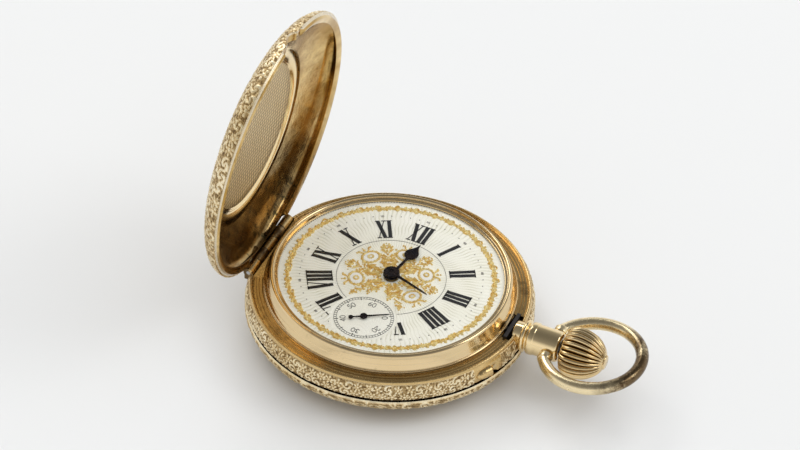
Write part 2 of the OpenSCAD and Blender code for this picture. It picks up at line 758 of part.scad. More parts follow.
module clutch_wheel() color(steel) difference() {
    stem_gear(12, 1.7, 1.4, 0.25, 0.45, 13.7, 15.7);
    difference() {
        rod_x(2.5, 14.3, 14.9);
        rod_x(1.1, 14, 15.2);
    }
}

module setting_lever() color(steel) {
    pivot = [16.4, -5.6];
    difference() {
        union() {
            strip([18.6, -6.85], 0.5, pivot, 0.75, 7.2, 7.8);
            strip(pivot, 0.75, [14.6, -2.3], 0.25, 7.2, 7.8);
        }
        at(pivot) disc(0.35, 0, 20);
    }
}

// ---------- Going train and escapement ----------

module centre_wheel() color(brass) {
    crossed_wheel(centre_teeth, centre_mod, dir_to(centre_at, third_at), 6, 6.3, 5, 1.3, 0.5);
    pinion(centre_leaves, barrel_mod, barrel_dir, 7.85, 8.45);
    disc(0.6, 6.2, 8);
    disc(0.5, 5.7, 6.2);
    disc(0.3, 4.8, dial_z + 0.9);
}

module third_wheel() color(brass) at(third_at) {
    to_centre = dir_to(third_at, centre_at);
    pinion(third_leaves, centre_mod, to_centre + 180 / third_leaves, 5.85, 6.5);
    crossed_wheel(third_teeth, third_mod, dir_to(third_at, fourth_at), 7, 7.25, 5, 1, 0.45);
    arbor(0.4, 4.8, 9.2);
}

module fourth_wheel() color(brass) at(fourth_at) {
    to_third = dir_to(fourth_at, third_at);
    pinion(fourth_leaves, third_mod, to_third + 180 / fourth_leaves, 6.85, 7.45);
    crossed_wheel(fourth_teeth, fourth_mod, escape_dir, 7.7, 7.95, 5, 0.95, 0.4);
    disc(0.35, 5.3, 8.5);
    disc(0.15, 4.8, dial_z + 0.22);
}

module escape_wheel() color(steel) at(escape_at) {
    pinion(escape_leaves, fourth_mod, escape_dir + 180 + 180 / escape_leaves, 7.62, 8.1);
    translate([0, 0, 7.3]) linear_extrude(0.2) {
        difference() {
            circle(r = 2.55);
            circle(r = 2.15);
        }
        circle(r = 0.7);
        for (i = [0 : 3]) rotate(i * 90) translate([0, -0.15]) square([2.3, 0.3]);
        for (i = [0 : escape_teeth - 1]) rotate(i * 360 / escape_teeth)
            polygon([[2.4, -0.3], [escape_r, 0.28], [escape_r - 0.05, 0.4], [2.4, 0.28]]);
    }
    disc(0.3, 5.3, 8.5);
    disc(0.15, 4.8, 9.2);
}

module pallet_fork() color(steel) at(pallet_at) rotate(lever_dir) {
    translate([0, 0, 7.28]) linear_extrude(0.24) {
        circle(r = 0.55);
        for (s = [-1, 1])
            polygon([[-0.35, s * 0.15], [-0.7, s * 1.75], [-0.15, s * 1.95], [0.3, s * 0.3]]);
        polygon([[0, -0.3], [2.7, -0.16], [2.7, 0.16], [0, 0.3]]);
        difference() {
            translate([2.95, 0]) circle(r = 0.5, $fn = 24);
            translate([3, -0.15]) square([1, 0.3]);
        }
    }
    disc(0.25, 7.15, 8.5);
    disc(0.15, 6.85, 9.2);
}

module pallet_stones() color(ruby) at(pallet_at) rotate(lever_dir) for (s = [-1, 1])
    translate([-0.83, s * 1.72, 7.3]) rotate(s * 20) block([-0.18, -0.16, 0], [0.12, 0.16, 0.2]);

module balance_wheel() color(brass) at(balance_at) {
    ring(balance_r - 0.75, balance_r, 5.9, 6.7);
    difference() {
        union() {
            block([-balance_r + 0.5, -0.45, 6.2], [balance_r - 0.5, 0.45, 6.45]);
            disc(0.95, 6.2, 6.45);
        }
        disc(0.42, 0, 20);
    }
}

module balance_staff() color(steel) at(balance_at) {
    disc(0.42, 5.4, 7.9);
    disc(0.12, 4.6, 9.2);
    disc(0.7, 5.4, 5.65);
    disc(1.15, 6.85, 7.05);
    at(polar(0.95, lever_dir + 180)) disc(0.1, 7, 7.24);
}

module hairspring() color(blue_steel) at(balance_at) {
    turns = 9;
    step = 15;
    r0 = 1;
    r1 = 3.6;
    wire = 0.08;
    points = [for (a = [0 : step : 360 * turns]) polar(r0 + (r1 - r0) * a / (360 * turns), a)];
    outer = [for (a = [360 * turns : -step : 0]) polar(r0 + wire + (r1 - r0) * a / (360 * turns), a)];
    translate([0, 0, 5.45]) linear_extrude(0.2) polygon(concat(points, outer));
}

module regulator() color(steel) at(balance_at) {
    difference() {
        union() {
            disc(1.35, cock_z[0] - 0.25, cock_z[0]);
            rotate(60) translate([0, 0, cock_z[0] - 0.25]) linear_extrude(0.25)
                polygon([[1.1, -0.35], [4.4, -0.06], [4.4, 0.06], [1.1, 0.35]]);
        }
        disc(0.78, 0, 20);
    }
}

module jewel(p, z0, z1) at(p) ring(0.18, 0.75, z0, z1);

module jewels() color(ruby) {
    for (p = [third_at, fourth_at, escape_at, pallet_at, balance_at]) jewel(p, 8.8, 9.3);
    for (p = [third_at, fourth_at, escape_at]) jewel(p, bridge_z[0] + 0.1, bridge_z[0] + 0.6);
    jewel(balance_at, cock_z[0], cock_z[0] + 0.5);
    at(pallet_at) ring(0.18, 0.5, 6.82, 7.1);
    at(centre_at) ring(0.33, 0.75, bridge_z[0] + 0.1, bridge_z[0] + 0.6);
}

module bridge_screws() color(blue_steel) {
    for (p = concat(barrel_bridge_feet, train_bridge_feet))
        at(p, bridge_z[0] - 0.05) screw(0.9, 0.5, 0.38, 4.3);
    at(cock_foot, cock_z[0] - 0.05) screw(0.9, 0.5, 0.38, 4.5);
}

module pallet_cock_screws() color(blue_steel)
    for (s = [-1, 1]) at(pallet_at + s * polar(pallet_foot_reach, lever_dir + 90), 6.62)
        screw(0.45, 0.2, 0.2, 2.2);

module case_screws() color(blue_steel) for (a = [100, 280])
    at(polar(plate_d / 2 - 1.2, a), plate_z[1] + 0.45) mirror([0, 0, 1])
        screw(1.35, 0.4, 0.43, 1.2);

front_cover();
front_hinge_pin();
rear_cover();
rear_hinge_pin();
dust_cover();
dust_cover_hinge_pin();
mid_case();
bezel();
crystal();
pendant();
crown();
crown_stem();
bow();
lock_spring();
lift_spring();
case_spring_screws();
set_pin();
main_plate();
dial();
hour_hand();
minute_hand();
seconds_hand();
cannon_pinion();
hour_wheel();
minute_wheel();
barrel_bridge();
train_bridge();
balance_cock();
pallet_cock();
barrel();
barrel_lid();
barrel_arbor();
mainspring();
ratchet_wheel();
ratchet_screw();
crown_wheel();
contrate_wheel();
crown_wheel_screw();
click();
click_spring();
centre_wheel();
third_wheel();
fourth_wheel();
escape_wheel();
pallet_fork();
pallet_stones();
balance_wheel();
balance_staff();
hairspring();
regulator();
jewels();
bridge_screws();
pallet_cock_screws();
case_screws();
winding_stem();
winding_pinion();
clutch_wheel();
setting_lever();
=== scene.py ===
import json
import math

import bmesh
import bpy
import numpy as np
from mathutils import Matrix, Vector
from mathutils.kdtree import KDTree


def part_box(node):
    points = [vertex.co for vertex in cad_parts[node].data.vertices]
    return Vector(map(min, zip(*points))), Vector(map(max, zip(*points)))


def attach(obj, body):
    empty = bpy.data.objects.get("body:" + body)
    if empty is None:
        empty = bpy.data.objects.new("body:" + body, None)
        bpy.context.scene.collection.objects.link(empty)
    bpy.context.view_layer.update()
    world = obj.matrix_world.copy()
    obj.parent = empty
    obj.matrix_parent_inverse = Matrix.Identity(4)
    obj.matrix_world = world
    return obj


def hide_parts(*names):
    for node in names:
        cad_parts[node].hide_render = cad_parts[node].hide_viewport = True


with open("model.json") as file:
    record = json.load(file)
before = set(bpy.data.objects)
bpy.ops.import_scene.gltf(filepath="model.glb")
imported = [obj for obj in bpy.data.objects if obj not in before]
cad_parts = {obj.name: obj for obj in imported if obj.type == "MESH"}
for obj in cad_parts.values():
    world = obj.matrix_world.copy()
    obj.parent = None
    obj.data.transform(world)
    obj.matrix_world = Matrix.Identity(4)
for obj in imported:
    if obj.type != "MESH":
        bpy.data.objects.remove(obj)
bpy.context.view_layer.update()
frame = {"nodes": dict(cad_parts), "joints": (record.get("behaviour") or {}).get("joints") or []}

MM = 0.001
TAU = 2 * math.pi
rng = np.random.default_rng(7)

# ---- Sizes read from the frame, in millimetres ----


def box_mm(node):
    low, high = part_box(node)
    return np.array(low) / MM, np.array(high) / MM


def joint(name):
    return next(j for j in frame["joints"] if j["name"] == name)


DIAL_Z = box_mm("dial")[1][2]
FRONT_HINGE = Vector(joint("front_cover_hinge")["pos_m"]) / MM
COVER_OPEN = joint("front_cover_hinge")["range_deg"][1]
RIM_Z = FRONT_HINGE.z
SECONDS_XY = np.array(joint("seconds_spin")["pos_m"][:2]) / MM
BOW_PIVOT = Vector(joint("bow_pivot")["pos_m"]) / MM
STEM_Z = BOW_PIVOT.z
REAR_HINGE = Vector(joint("rear_cover_hinge")["pos_m"]) / MM
REAR_RIM_Z = REAR_HINGE.z
# Superellipse of each cover: radius, height and fullness
COVER_R, COVER_H, COVER_FULLNESS = 24.1, 6.1, 2.6
REAR_R, REAR_DEPTH, REAR_FULLNESS = 25.0, 5.74, 2.5

# ---- Materials ----

# Pitch of the square grid on the disc inside the front cover, in metres
GRID_PITCH = 0.00085


class Shader:
    """A node material, with short calls for the nodes it uses."""

    def __init__(self, name, metallic=0.0, roughness=0.4, color=(0.8, 0.8, 0.8)):
        self.material = bpy.data.materials.new(name)
        self.material.use_nodes = True
        self.nodes = self.material.node_tree.nodes
        self.links = self.material.node_tree.links
        self.bsdf = self.nodes["Principled BSDF"]
        self.bsdf.inputs["Metallic"].default_value = metallic
        self.bsdf.inputs["Roughness"].default_value = roughness
        self.bsdf.inputs["Base Color"].default_value = (*color, 1)
        self.place = self.nodes.new("ShaderNodeTexCoord").outputs["Object"]

    def link(self, source, target):
        self.links.new(source, target)

    def noise(self, scale, detail=4.0, roughness=0.55, stretch=(1, 1, 1), distortion=0.0):
        mapping = self.nodes.new("ShaderNodeMapping")
        mapping.inputs["Scale"].default_value = stretch
        self.link(self.place, mapping.inputs["Vector"])
        node = self.nodes.new("ShaderNodeTexNoise")
        node.inputs["Scale"].default_value = scale
        node.inputs["Detail"].default_value = detail
        node.inputs["Roughness"].default_value = roughness
        node.inputs["Distortion"].default_value = distortion
        self.link(mapping.outputs["Vector"], node.inputs["Vector"])
        return node.outputs["Fac"]

    def cells(self, scale):
        node = self.nodes.new("ShaderNodeTexVoronoi")
        node.inputs["Scale"].default_value = scale
        self.link(self.place, node.inputs["Vector"])
        return node.outputs["Distance"]

    def attribute(self, name):
        node = self.nodes.new("ShaderNodeAttribute")
        node.attribute_name = name
        return node.outputs["Fac"]

    def math(self, operation, a, b=None, clamp=False):
        node = self.nodes.new("ShaderNodeMath")
        node.operation = operation
        node.use_clamp = clamp
        for socket, value in zip(node.inputs, (a, b)):
            if value is None:
                continue
            if isinstance(value, (int, float)):
                socket.default_value = value
            else:
                self.link(value, socket)
        return node.outputs[0]

    def plus(self, a, b):
        return self.math("ADD", a, b)

    def minus(self, a, b, clamp=False):
        return self.math("SUBTRACT", a, b, clamp)

    def times(self, a, b, clamp=False):
        return self.math("MULTIPLY", a, b, clamp)

    def past(self, a, b, span):
        """0 until a reaches b, rising to 1 over a span in metres."""
        return self.times(self.minus(a, b), 1 / span, clamp=True)

    def axes(self):
        node = self.nodes.new("ShaderNodeSeparateXYZ")
        self.link(self.place, node.inputs[0])
        return node.outputs

    def ramp(self, source, stops):
        """Colour ramp from (position, colour) stops; a plain number is a grey."""
        node = self.nodes.new("ShaderNodeValToRGB")
        elements = node.color_ramp.elements
        while len(elements) < len(stops):
            elements.new(0.5)
        for element, (position, value) in zip(elements, stops):
            element.position = position
            color = (value, value, value) if isinstance(value, (int, float)) else value
            element.color = (*color, 1)
        self.link(source, node.inputs["Fac"])
        return node.outputs["Color"]

    def patches(self, start, full, *noise, **options):
        """Patches of a noise: 0 below start, 1 above full."""
        return self.ramp(self.noise(*noise, **options), [(start, 0), (full, 1)])

    def mix(self, factor, a, b, blend="MIX"):
        node = self.nodes.new("ShaderNodeMix")
        node.data_type = "RGBA"
        node.blend_type = blend
        for socket, value in ((node.inputs[0], factor), (node.inputs[6], a), (node.inputs[7], b)):
            if isinstance(value, (int, float)):
                socket.default_value = value
            elif isinstance(value, tuple):
                socket.default_value = (*value, 1)
            else:
                self.link(value, socket)
        return node.outputs[2]

    def bump(self, height, strength, distance):
        node = self.nodes.new("ShaderNodeBump")
        node.inputs["Strength"].default_value = strength
        node.inputs["Distance"].default_value = distance
        self.link(height, node.inputs["Height"])
        previous = self.bsdf.inputs["Normal"]
        if previous.is_linked:
            self.link(previous.links[0].from_socket, node.inputs["Normal"])
        self.link(node.outputs["Normal"], previous)

    def color(self, source):
        self.link(source, self.bsdf.inputs["Base Color"])

    def roughness(self, source, low, high):
        """Roughness that follows the source between two (position, roughness) stops."""
        self.link(self.ramp(source, [low, high]), self.bsdf.inputs["Roughness"])


GOLD_LIGHT = (0.80, 0.61, 0.33)
GOLD = (0.70, 0.50, 0.23)
GOLD_DEEP = (0.48, 0.30, 0.10)
GOLD_DARK = (0.10, 0.055, 0.02)
# Red-brown of the joint above the rear cover: dirt, and painted shade in that gap
JOINT_GRIME_AND_SHADE = (0.12, 0.032, 0.012)


def polished_gold(name, light=GOLD_LIGHT, mid=GOLD, rough=(0.08, 0.2), tarnish=0.0):
    """Rolled gold: warm tone drift, fine rubbing marks, small pits and brown tarnish."""
    s = Shader(name, metallic=1.0, roughness=rough[0])
    drift = s.noise(120, 3)
    color = s.mix(drift, mid, light)
    if tarnish:
        patches = s.ramp(s.noise(260, 6, 0.65), [(0.60 - tarnish * 0.12, 0), (0.78, 1)])
        color = s.mix(s.times(patches, min(1, 0.6 + tarnish)), color, GOLD_DARK)
    pits = s.ramp(s.cells(900), [(0.0, 1), (0.06, 0)])
    pit_area = s.patches(0.56, 0.66, 300, 2)
    color = s.mix(s.times(s.times(pits, pit_area), 0.5), color, GOLD_DARK)
    s.color(color)
    wear = s.noise(1500, 5, 0.7)
    s.roughness(wear, (0.3, rough[0]), (0.75, rough[1]))
    s.bump(s.noise(2600, 4, 0.6), 0.06, 0.00004)
    s.bump(s.noise(420, 2, 0.5), 0.12, 0.00008)
    return s.material


def engraved_gold(name):
    """Foliate engraving over a matted ground: dark in the cuts, bright on the leaves."""
    s = Shader(name, metallic=0.72, roughness=0.32)
    relief = s.attribute("relief")
    grain = s.noise(3800, 5, 0.7)
    depth = s.plus(relief, s.times(s.minus(grain, 0.5), 0.7))
    tone = s.ramp(depth, [(0.04, (0.13, 0.075, 0.030)), (0.20, (0.44, 0.30, 0.13)),
                          (0.42, (0.85, 0.67, 0.39)), (0.82, (0.99, 0.87, 0.61))])
    wear = s.ramp(s.noise(90, 3), [(0.35, (0.84, 0.79, 0.68)), (0.65, (1, 1, 1))])
    s.color(s.mix(1.0, tone, wear, "MULTIPLY"))
    s.roughness(depth, (0.1, 0.6), (0.7, 0.27))
    s.bump(grain, 0.5, 0.00007)
    s.bump(s.cells(2300), 0.35, 0.00006)
    return s.material


def matted_gold(name):
    """Satin gold of the engine-turned disc inside the cover, cut with a fine square grid."""
    s = Shader(name, metallic=1.0, roughness=0.4)
    axes = s.axes()
    cuts = []
    for axis in (axes[1], axes[2]):
        wave = s.math("ABSOLUTE", s.math("SINE", s.times(axis, math.pi / GRID_PITCH)))
        cuts.append(s.ramp(wave, [(0.10, 0), (0.5, 1)]))
    grid = s.times(*cuts)
    tone = s.mix(grid, (0.22, 0.14, 0.06), (0.92, 0.76, 0.48))
    s.color(s.mix(s.times(s.noise(200, 4), 0.35), tone, (0.46, 0.31, 0.13)))
    s.roughness(s.noise(2600, 4), (0.3, 0.34), (0.7, 0.5))
    s.bump(grid, 0.7, 0.00008)
    s.bump(s.noise(3500, 4), 0.2, 0.00003)
    return s.material


def cover_inside_gold(name):
    """Old gilding inside the cover: deep brown-gold, with black-green spots, and darker towards the front
    cover's hinge and below it.
    """
    s = Shader(name, metallic=1.0, roughness=0.1)
    above_hinge = s.minus(s.axes()[2], RIM_Z * MM)
    low = s.minus(1.0, s.times(above_hinge, 1 / 0.017), clamp=True)
    color = s.mix(s.patches(0.4, 0.62, 110, 4), (0.48, 0.29, 0.08), (0.96, 0.72, 0.34))
    brown_patches = s.patches(0.44, 0.62, 220, 6, 0.65, distortion=0.6)
    # Brown patches, denser towards the hinge
    color = s.mix(s.times(brown_patches, s.plus(0.3, s.times(low, 0.6))), color,
                  (0.24, 0.13, 0.04))
    # Darker towards the front cover's hinge and at every level below it, so all of the rear cover's inside
    # and lip
    color = s.mix(s.times(low, 0.62), color, (0.15, 0.085, 0.028))
    spots = s.patches(0.55, 0.63, 560, 5, 0.7)
    color = s.mix(s.times(spots, s.plus(0.10, s.times(low, 0.8))), color,
                  (0.035, 0.035, 0.015))
    s.color(color)
    s.roughness(s.noise(700, 5, 0.7), (0.3, 0.07), (0.8, 0.2))
    s.bump(s.noise(240, 3, 0.5), 0.14, 0.0002)
    s.bump(s.noise(2200, 4, 0.6), 0.12, 0.00004)
    return s.material


def tarnished_brass(name):
    """Hinge knuckles: brown with age, rubbed back to brass in spots."""
    s = Shader(name, metallic=1.0, roughness=0.34)
    rubbed = s.patches(0.42, 0.7, 650, 5, 0.65)
    s.color(s.mix(rubbed, (0.105, 0.068, 0.034), (0.46, 0.33, 0.16)))
    s.roughness(s.noise(1200, 4, 0.7), (0.3, 0.26), (0.75, 0.5))
    s.bump(s.noise(1500, 5, 0.65), 0.3, 0.00006)
    return s.material


def case_band_gold(name):
    """Case band: satin gold, painted red-brown in the joint above the rear cover, for dirt and for painted
    shade in that gap.
    """
    s = Shader(name, metallic=1.0, roughness=0.24)
    joint_top = (REAR_RIM_Z + 0.37) * MM
    # Painted shade and dirt: everything below the top of the gap above the rear cover's rim
    joint_grime_and_shade = s.past(joint_top, s.axes()[2], 0.00005)
    patches = s.patches(0.45, 0.72, 240, 5, 0.6)
    color = s.mix(s.times(patches, 0.4), GOLD, GOLD_DEEP)
    at_hinge = s.past(-0.0228, s.axes()[0], 0.0006)
    brown = s.mix(patches, (0.13, 0.085, 0.04), (0.33, 0.22, 0.10))
    color = s.mix(at_hinge, color, brown)
    s.color(s.mix(joint_grime_and_shade, color, JOINT_GRIME_AND_SHADE))
    s.roughness(s.noise(1500, 5, 0.7), (0.3, 0.18), (0.75, 0.36))
    s.bump(s.noise(2600, 4, 0.6), 0.1, 0.00004)
    return s.material


def bow_gold(name):
    """The bow's wire: pale gold, polished where it is handled and lightened as painted highlight, brown and
    pitted on its outer turn.
    """
    s = Shader(name, metallic=1.0, roughness=0.2)
    far = s.past(s.axes()[0], 0.0405, 0.0035)
    # Pale gold: partly the wire's polish, partly painted highlight
    color = s.mix(s.noise(150, 3), (0.84, 0.67, 0.38), (0.97, 0.84, 0.56))
    brown = s.patches(0.22, 0.46, 330, 5, 0.65)
    color = s.mix(s.times(s.times(brown, far), 0.95), color, (0.12, 0.075, 0.035))
    pits = s.patches(0.53, 0.62, 1500, 4, 0.7)
    color = s.mix(s.times(s.times(pits, far), 0.75), color, (0.075, 0.04, 0.02))
    s.color(color)
    s.roughness(s.noise(900, 5, 0.7), (0.3, 0.14), (0.8, 0.38))
    s.bump(s.noise(1100, 5, 0.65), 0.2, 0.00008)
    return s.material


def brushed_steel(name, base=(0.46, 0.46, 0.47), rough=(0.22, 0.42)):
    s = Shader(name, metallic=1.0, roughness=rough[0])
    grain = s.noise(2400, 5, 0.7, stretch=(1, 1, 6))
    s.color(s.mix(grain, tuple(c * 0.7 for c in base), tuple(min(1, c * 1.25) for c in base)))
    s.roughness(grain, (0.3, rough[0]), (0.75, rough[1]))
    s.bump(grain, 0.15, 0.00003)
    return s.material


def blued_steel(name, base=(0.014, 0.013, 0.018), tint=(0.045, 0.028, 0.022)):
    """Heat-blued steel gone brown-black with age."""
    s = Shader(name, metallic=0.85, roughness=0.22)
    s.color(s.mix(s.patches(0.35, 0.7, 700, 4), base, tint))
    s.roughness(s.noise(1600, 4, 0.6), (0.3, 0.16), (0.75, 0.36))
    s.bump(s.noise(2600, 4), 0.15, 0.00003)
    return s.material


def gilt_brass(name, base=(0.80, 0.60, 0.28)):
    """Fire-gilt brass with a frosted grain."""
    s = Shader(name, metallic=1.0, roughness=0.34)
    grain = s.noise(3200, 5, 0.6)
    s.color(s.mix(grain, tuple(c * 0.82 for c in base), base))
    s.roughness(grain, (0.3, 0.28), (0.7, 0.46))
    s.bump(grain, 0.3, 0.00004)
    return s.material


def striped_nickel(name):
    """Bridge finish: broad polished stripes over a gilt-nickel plate."""
    s = Shader(name, metallic=1.0, roughness=0.25)
    axes = s.axes()
    across = s.plus(s.times(axes[0], 0.82), s.times(axes[1], 0.57))
    wave = s.math("SINE", s.times(across, TAU / 0.0019))
    arcs = s.math("SINE", s.times(s.plus(across, s.times(axes[1], 0.4)), TAU / 0.00016))
    tone = s.ramp(s.math("MULTIPLY_ADD", wave, 0.5), [(0.0, (0.58, 0.52, 0.38)), (1.0, (0.82, 0.77, 0.62))])
    s.color(s.mix(s.times(s.noise(1800, 4), 0.3), tone, (0.60, 0.52, 0.36)))
    s.bump(wave, 0.3, 0.0001)
    s.bump(arcs, 0.12, 0.00002)
    return s.material


def ruby(name):
    s = Shader(name, roughness=0.08)
    cloud = s.noise(900, 3)
    s.color(s.mix(cloud, (0.34, 0.01, 0.03), (0.62, 0.03, 0.08)))
    s.bsdf.inputs["Coat Weight"].default_value = 0.6
    return s.material


def silvered_dial(name):
    """Silvered ground, slightly yellowed, with the grain of the silvering powder."""
    s = Shader(name, metallic=0.0, roughness=0.42)
    relief = s.attribute("relief")
    age = s.ramp(s.noise(110, 5, 0.6), [(0.35, (0.93, 0.915, 0.79)), (0.7, (0.97, 0.96, 0.87))])
    shade = s.ramp(relief, [(0.0, (0.76, 0.75, 0.68)), (0.42, (1, 1, 1))])
    s.color(s.mix(1.0, age, shade, "MULTIPLY"))
    s.roughness(s.noise(2400, 4), (0.3, 0.36), (0.7, 0.52))
    s.bump(s.noise(5200, 4, 0.6), 0.25, 0.00003)
    return s.material


def printed_ink(name, color=(0.008, 0.008, 0.009)):
    s = Shader(name, roughness=0.45)
    wear = s.ramp(s.noise(2600, 4), [(0.25, 0.35), (0.4, 0)])
    s.color(s.mix(wear, color, (0.06, 0.06, 0.055)))
    s.bump(s.noise(4000, 3), 0.2, 0.00002)
    return s.material


def applied_gold(name):
    """Fire-gilt ornament applied to the dial."""
    s = Shader(name, metallic=0.5, roughness=0.22)
    s.color(s.mix(s.patches(0.38, 0.62, 1300, 4), (0.84, 0.56, 0.15), (1.0, 0.84, 0.40)))
    s.bump(s.noise(4200, 4, 0.6), 0.6, 0.00007)
    return s.material


def enamel_white(name):
    s = Shader(name, roughness=0.2)
    s.color(s.mix(s.noise(500, 3), (0.86, 0.855, 0.80), (0.93, 0.925, 0.88)))
    s.bump(s.noise(2600, 3), 0.1, 0.00003)
    return s.material


def watch_glass(name):
    s = Shader(name, roughness=0.02, color=(0.01, 0.01, 0.01))
    s.bsdf.inputs["IOR"].default_value = 1.5
    s.bsdf.inputs["Alpha"].default_value = 0.05
    s.bump(s.noise(60, 2), 0.02, 0.0001)
    return s.material


def crown_gold(name):
    """Crown: bright worn ridges, with black-brown dirt in the grooves."""
    s = Shader(name, metallic=1.0, roughness=0.2)
    height = s.plus(s.attribute("relief"), s.times(s.minus(s.noise(900, 4), 0.5), 0.3))
    s.color(s.ramp(height, [(0.16, (0.06, 0.03, 0.012)), (0.5, GOLD_DEEP), (0.74, GOLD_LIGHT)]))
    s.roughness(s.noise(1300, 5, 0.7), (0.3, 0.12), (0.8, 0.3))
    s.bump(s.noise(1800, 4), 0.15, 0.00005)
    return s.material


M = {
    # Lighter than the bezel's gold: its own colour lightened as painted highlight, so the pendant looks as
    # bright as its highlights
    "gold": polished_gold("case_gold_lightened_as_highlight", light=(0.97, 0.79, 0.47), mid=(0.88, 0.67, 0.36)),
    "bezel": polished_gold("bezel_gold", light=(0.82, 0.64, 0.38), mid=(0.74, 0.56, 0.30),
                           rough=(0.06, 0.15), tarnish=0.1),
    "worn": tarnished_brass("tarnished_brass"),
    "band": case_band_gold("case_band_gold"),
    "ledge": polished_gold("ledge_gold", light=GOLD, mid=GOLD_DEEP, rough=(0.16, 0.3), tarnish=0.2),
    "engraved": engraved_gold("engraved_gold"),
    "turned": matted_gold("engine_turned_gold"),
    "inside": cover_inside_gold("cover_inside_gold"),
    "rim": polished_gold("rim_gold", light=(0.84, 0.76, 0.60), mid=(0.74, 0.62, 0.42),
                         rough=(0.2, 0.36)),
    "bow": bow_gold("bow_gold"),
    "crown": crown_gold("crown_gold"),
    "steel": brushed_steel("polished_steel"),
    "dark_steel": brushed_steel("dark_steel", base=(0.09, 0.085, 0.085), rough=(0.28, 0.5)),
    "blued": blued_steel("blued_steel"),
    "blue_screw": blued_steel("blue_screw_steel", base=(0.02, 0.05, 0.22), tint=(0.05, 0.04, 0.16)),
    "gilt": gilt_brass("gilt_brass"),
    "wheel": gilt_brass("wheel_brass", base=(0.86, 0.68, 0.30)),
    "bridge": striped_nickel("striped_bridge"),
    "ruby": ruby("ruby"),
    "silver": silvered_dial("silvered_dial"),
    "ink": printed_ink("black_ink"),
    "grey_ink": printed_ink("grey_ink", color=(0.22, 0.21, 0.19)),
    "applied": applied_gold("applied_gold"),
    "enamel": enamel_white("white_enamel"),
    "glass": watch_glass("watch_glass"),
}

CAD_MATERIALS = {
    "band": ["mid_case"],
    "gold": ["dust_cover", "set_pin"],
    "steel": ["front_hinge_pin", "rear_hinge_pin", "dust_cover_hinge_pin", "crown_stem",
              "case_spring_screws", "barrel_arbor", "ratchet_wheel", "crown_wheel", "contrate_wheel",
              "click", "click_spring", "escape_wheel", "pallet_fork", "balance_staff", "regulator",
              "winding_stem", "winding_pinion", "clutch_wheel", "setting_lever"],
    "dark_steel": ["lock_spring", "lift_spring", "mainspring"],
    "blued": ["hairspring", "cannon_pinion"],
    "blue_screw": ["ratchet_screw", "crown_wheel_screw", "bridge_screws", "pallet_cock_screws",
                   "case_screws"],
    "gilt": ["main_plate", "barrel", "barrel_lid", "pallet_cock"],
    "wheel": ["hour_wheel", "minute_wheel", "centre_wheel", "third_wheel", "fourth_wheel",
              "balance_wheel"],
    "bridge": ["barrel_bridge", "train_bridge", "balance_cock"],
    "ruby": ["jewels", "pallet_stones"],
}
for key, names in CAD_MATERIALS.items():
    for cad_name in names:
        mesh = frame["nodes"][cad_name].data
        mesh.materials.clear()
        mesh.materials.append(M[key])

# ---- Mesh helpers, all in millimetres ----


def in_scene(name, data):
    obj = bpy.data.objects.new(name, data)
    bpy.context.scene.collection.objects.link(obj)
    return obj


def piece(name, verts, faces, materials, body, slot, replaces=(), indices=None, sharp=35,
          relief=None, merge=False):
    """Makes a mesh object from millimetre points, rides it on a body and hides the parts it replaces; slot
    is not used.
    """
    mesh = bpy.data.meshes.new(name)
    mesh.from_pydata((np.asarray(verts, float) * MM).tolist(), [], [tuple(f) for f in faces])
    for key in materials:
        mesh.materials.append(M[key])
    if indices is not None:
        mesh.polygons.foreach_set("material_index", np.asarray(indices, np.int32))
    if relief is not None:
        attribute = mesh.attributes.new("relief", "FLOAT", "POINT")
        attribute.data.foreach_set("value", np.asarray(relief, np.float32))
    b = bmesh.new()
    b.from_mesh(mesh)
    if merge:
        bmesh.ops.remove_doubles(b, verts=b.verts, dist=1e-8)
    bmesh.ops.recalc_face_normals(b, faces=b.faces)
    b.to_mesh(mesh)
    b.free()
    mesh.shade_smooth()
    if sharp:
        mesh.set_sharp_from_angle(angle=math.radians(sharp))
    obj = in_scene(name, mesh)
    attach(obj, body)
    if replaces:
        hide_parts(*replaces)
    return obj


class Parts:
    """Collects several closed shapes into one mesh."""

    def __init__(self):
        self.verts, self.faces, self.indices, self.count = [], [], [], 0

    def add(self, verts, faces, index=0):
        verts = np.asarray(verts, float)
        self.verts.append(verts)
        self.faces += [tuple(int(i) + self.count for i in f) for f in faces]
        self.indices += [index] * len(faces)
        self.count += len(verts)

    def make(self, name, materials, body, slot, **options):
        return piece(name, np.concatenate(self.verts), self.faces, materials, body, slot,
                     indices=self.indices, **options)


def grid_faces(rows, cols, close_rows=False, close_cols=True):
    faces = []
    for i in range(rows if close_rows else rows - 1):
        for j in range(cols if close_cols else cols - 1):
            a, b = i * cols + j, i * cols + (j + 1) % cols
            c, d = ((i + 1) % rows) * cols + (j + 1) % cols, ((i + 1) % rows) * cols + j
            faces.append((a, b, c, d))
    return faces


def capped_faces(rows, cols):
    """Rows of points joined round, with a flat cap at each end."""
    return grid_faces(rows, cols) + [tuple(range(cols))[::-1],
                                     tuple(range((rows - 1) * cols, rows * cols))]


def rect(a0, b0, a1, b1):
    """Corners of a rectangle, counter-clockwise."""
    return [(a0, b0), (a1, b0), (a1, b1), (a0, b1)]


def lathe(profile, segments):
    """Closed solid of revolution about Z from a closed loop of (r, z) points."""
    angles = np.arange(segments) * TAU / segments
    p = np.asarray(profile, float)
    verts = np.stack([np.outer(p[:, 0], np.cos(angles)), np.outer(p[:, 0], np.sin(angles)),
                      np.repeat(p[:, 1][:, None], segments, 1)], -1).reshape(-1, 3)
    return verts, grid_faces(len(p), segments, close_rows=True)


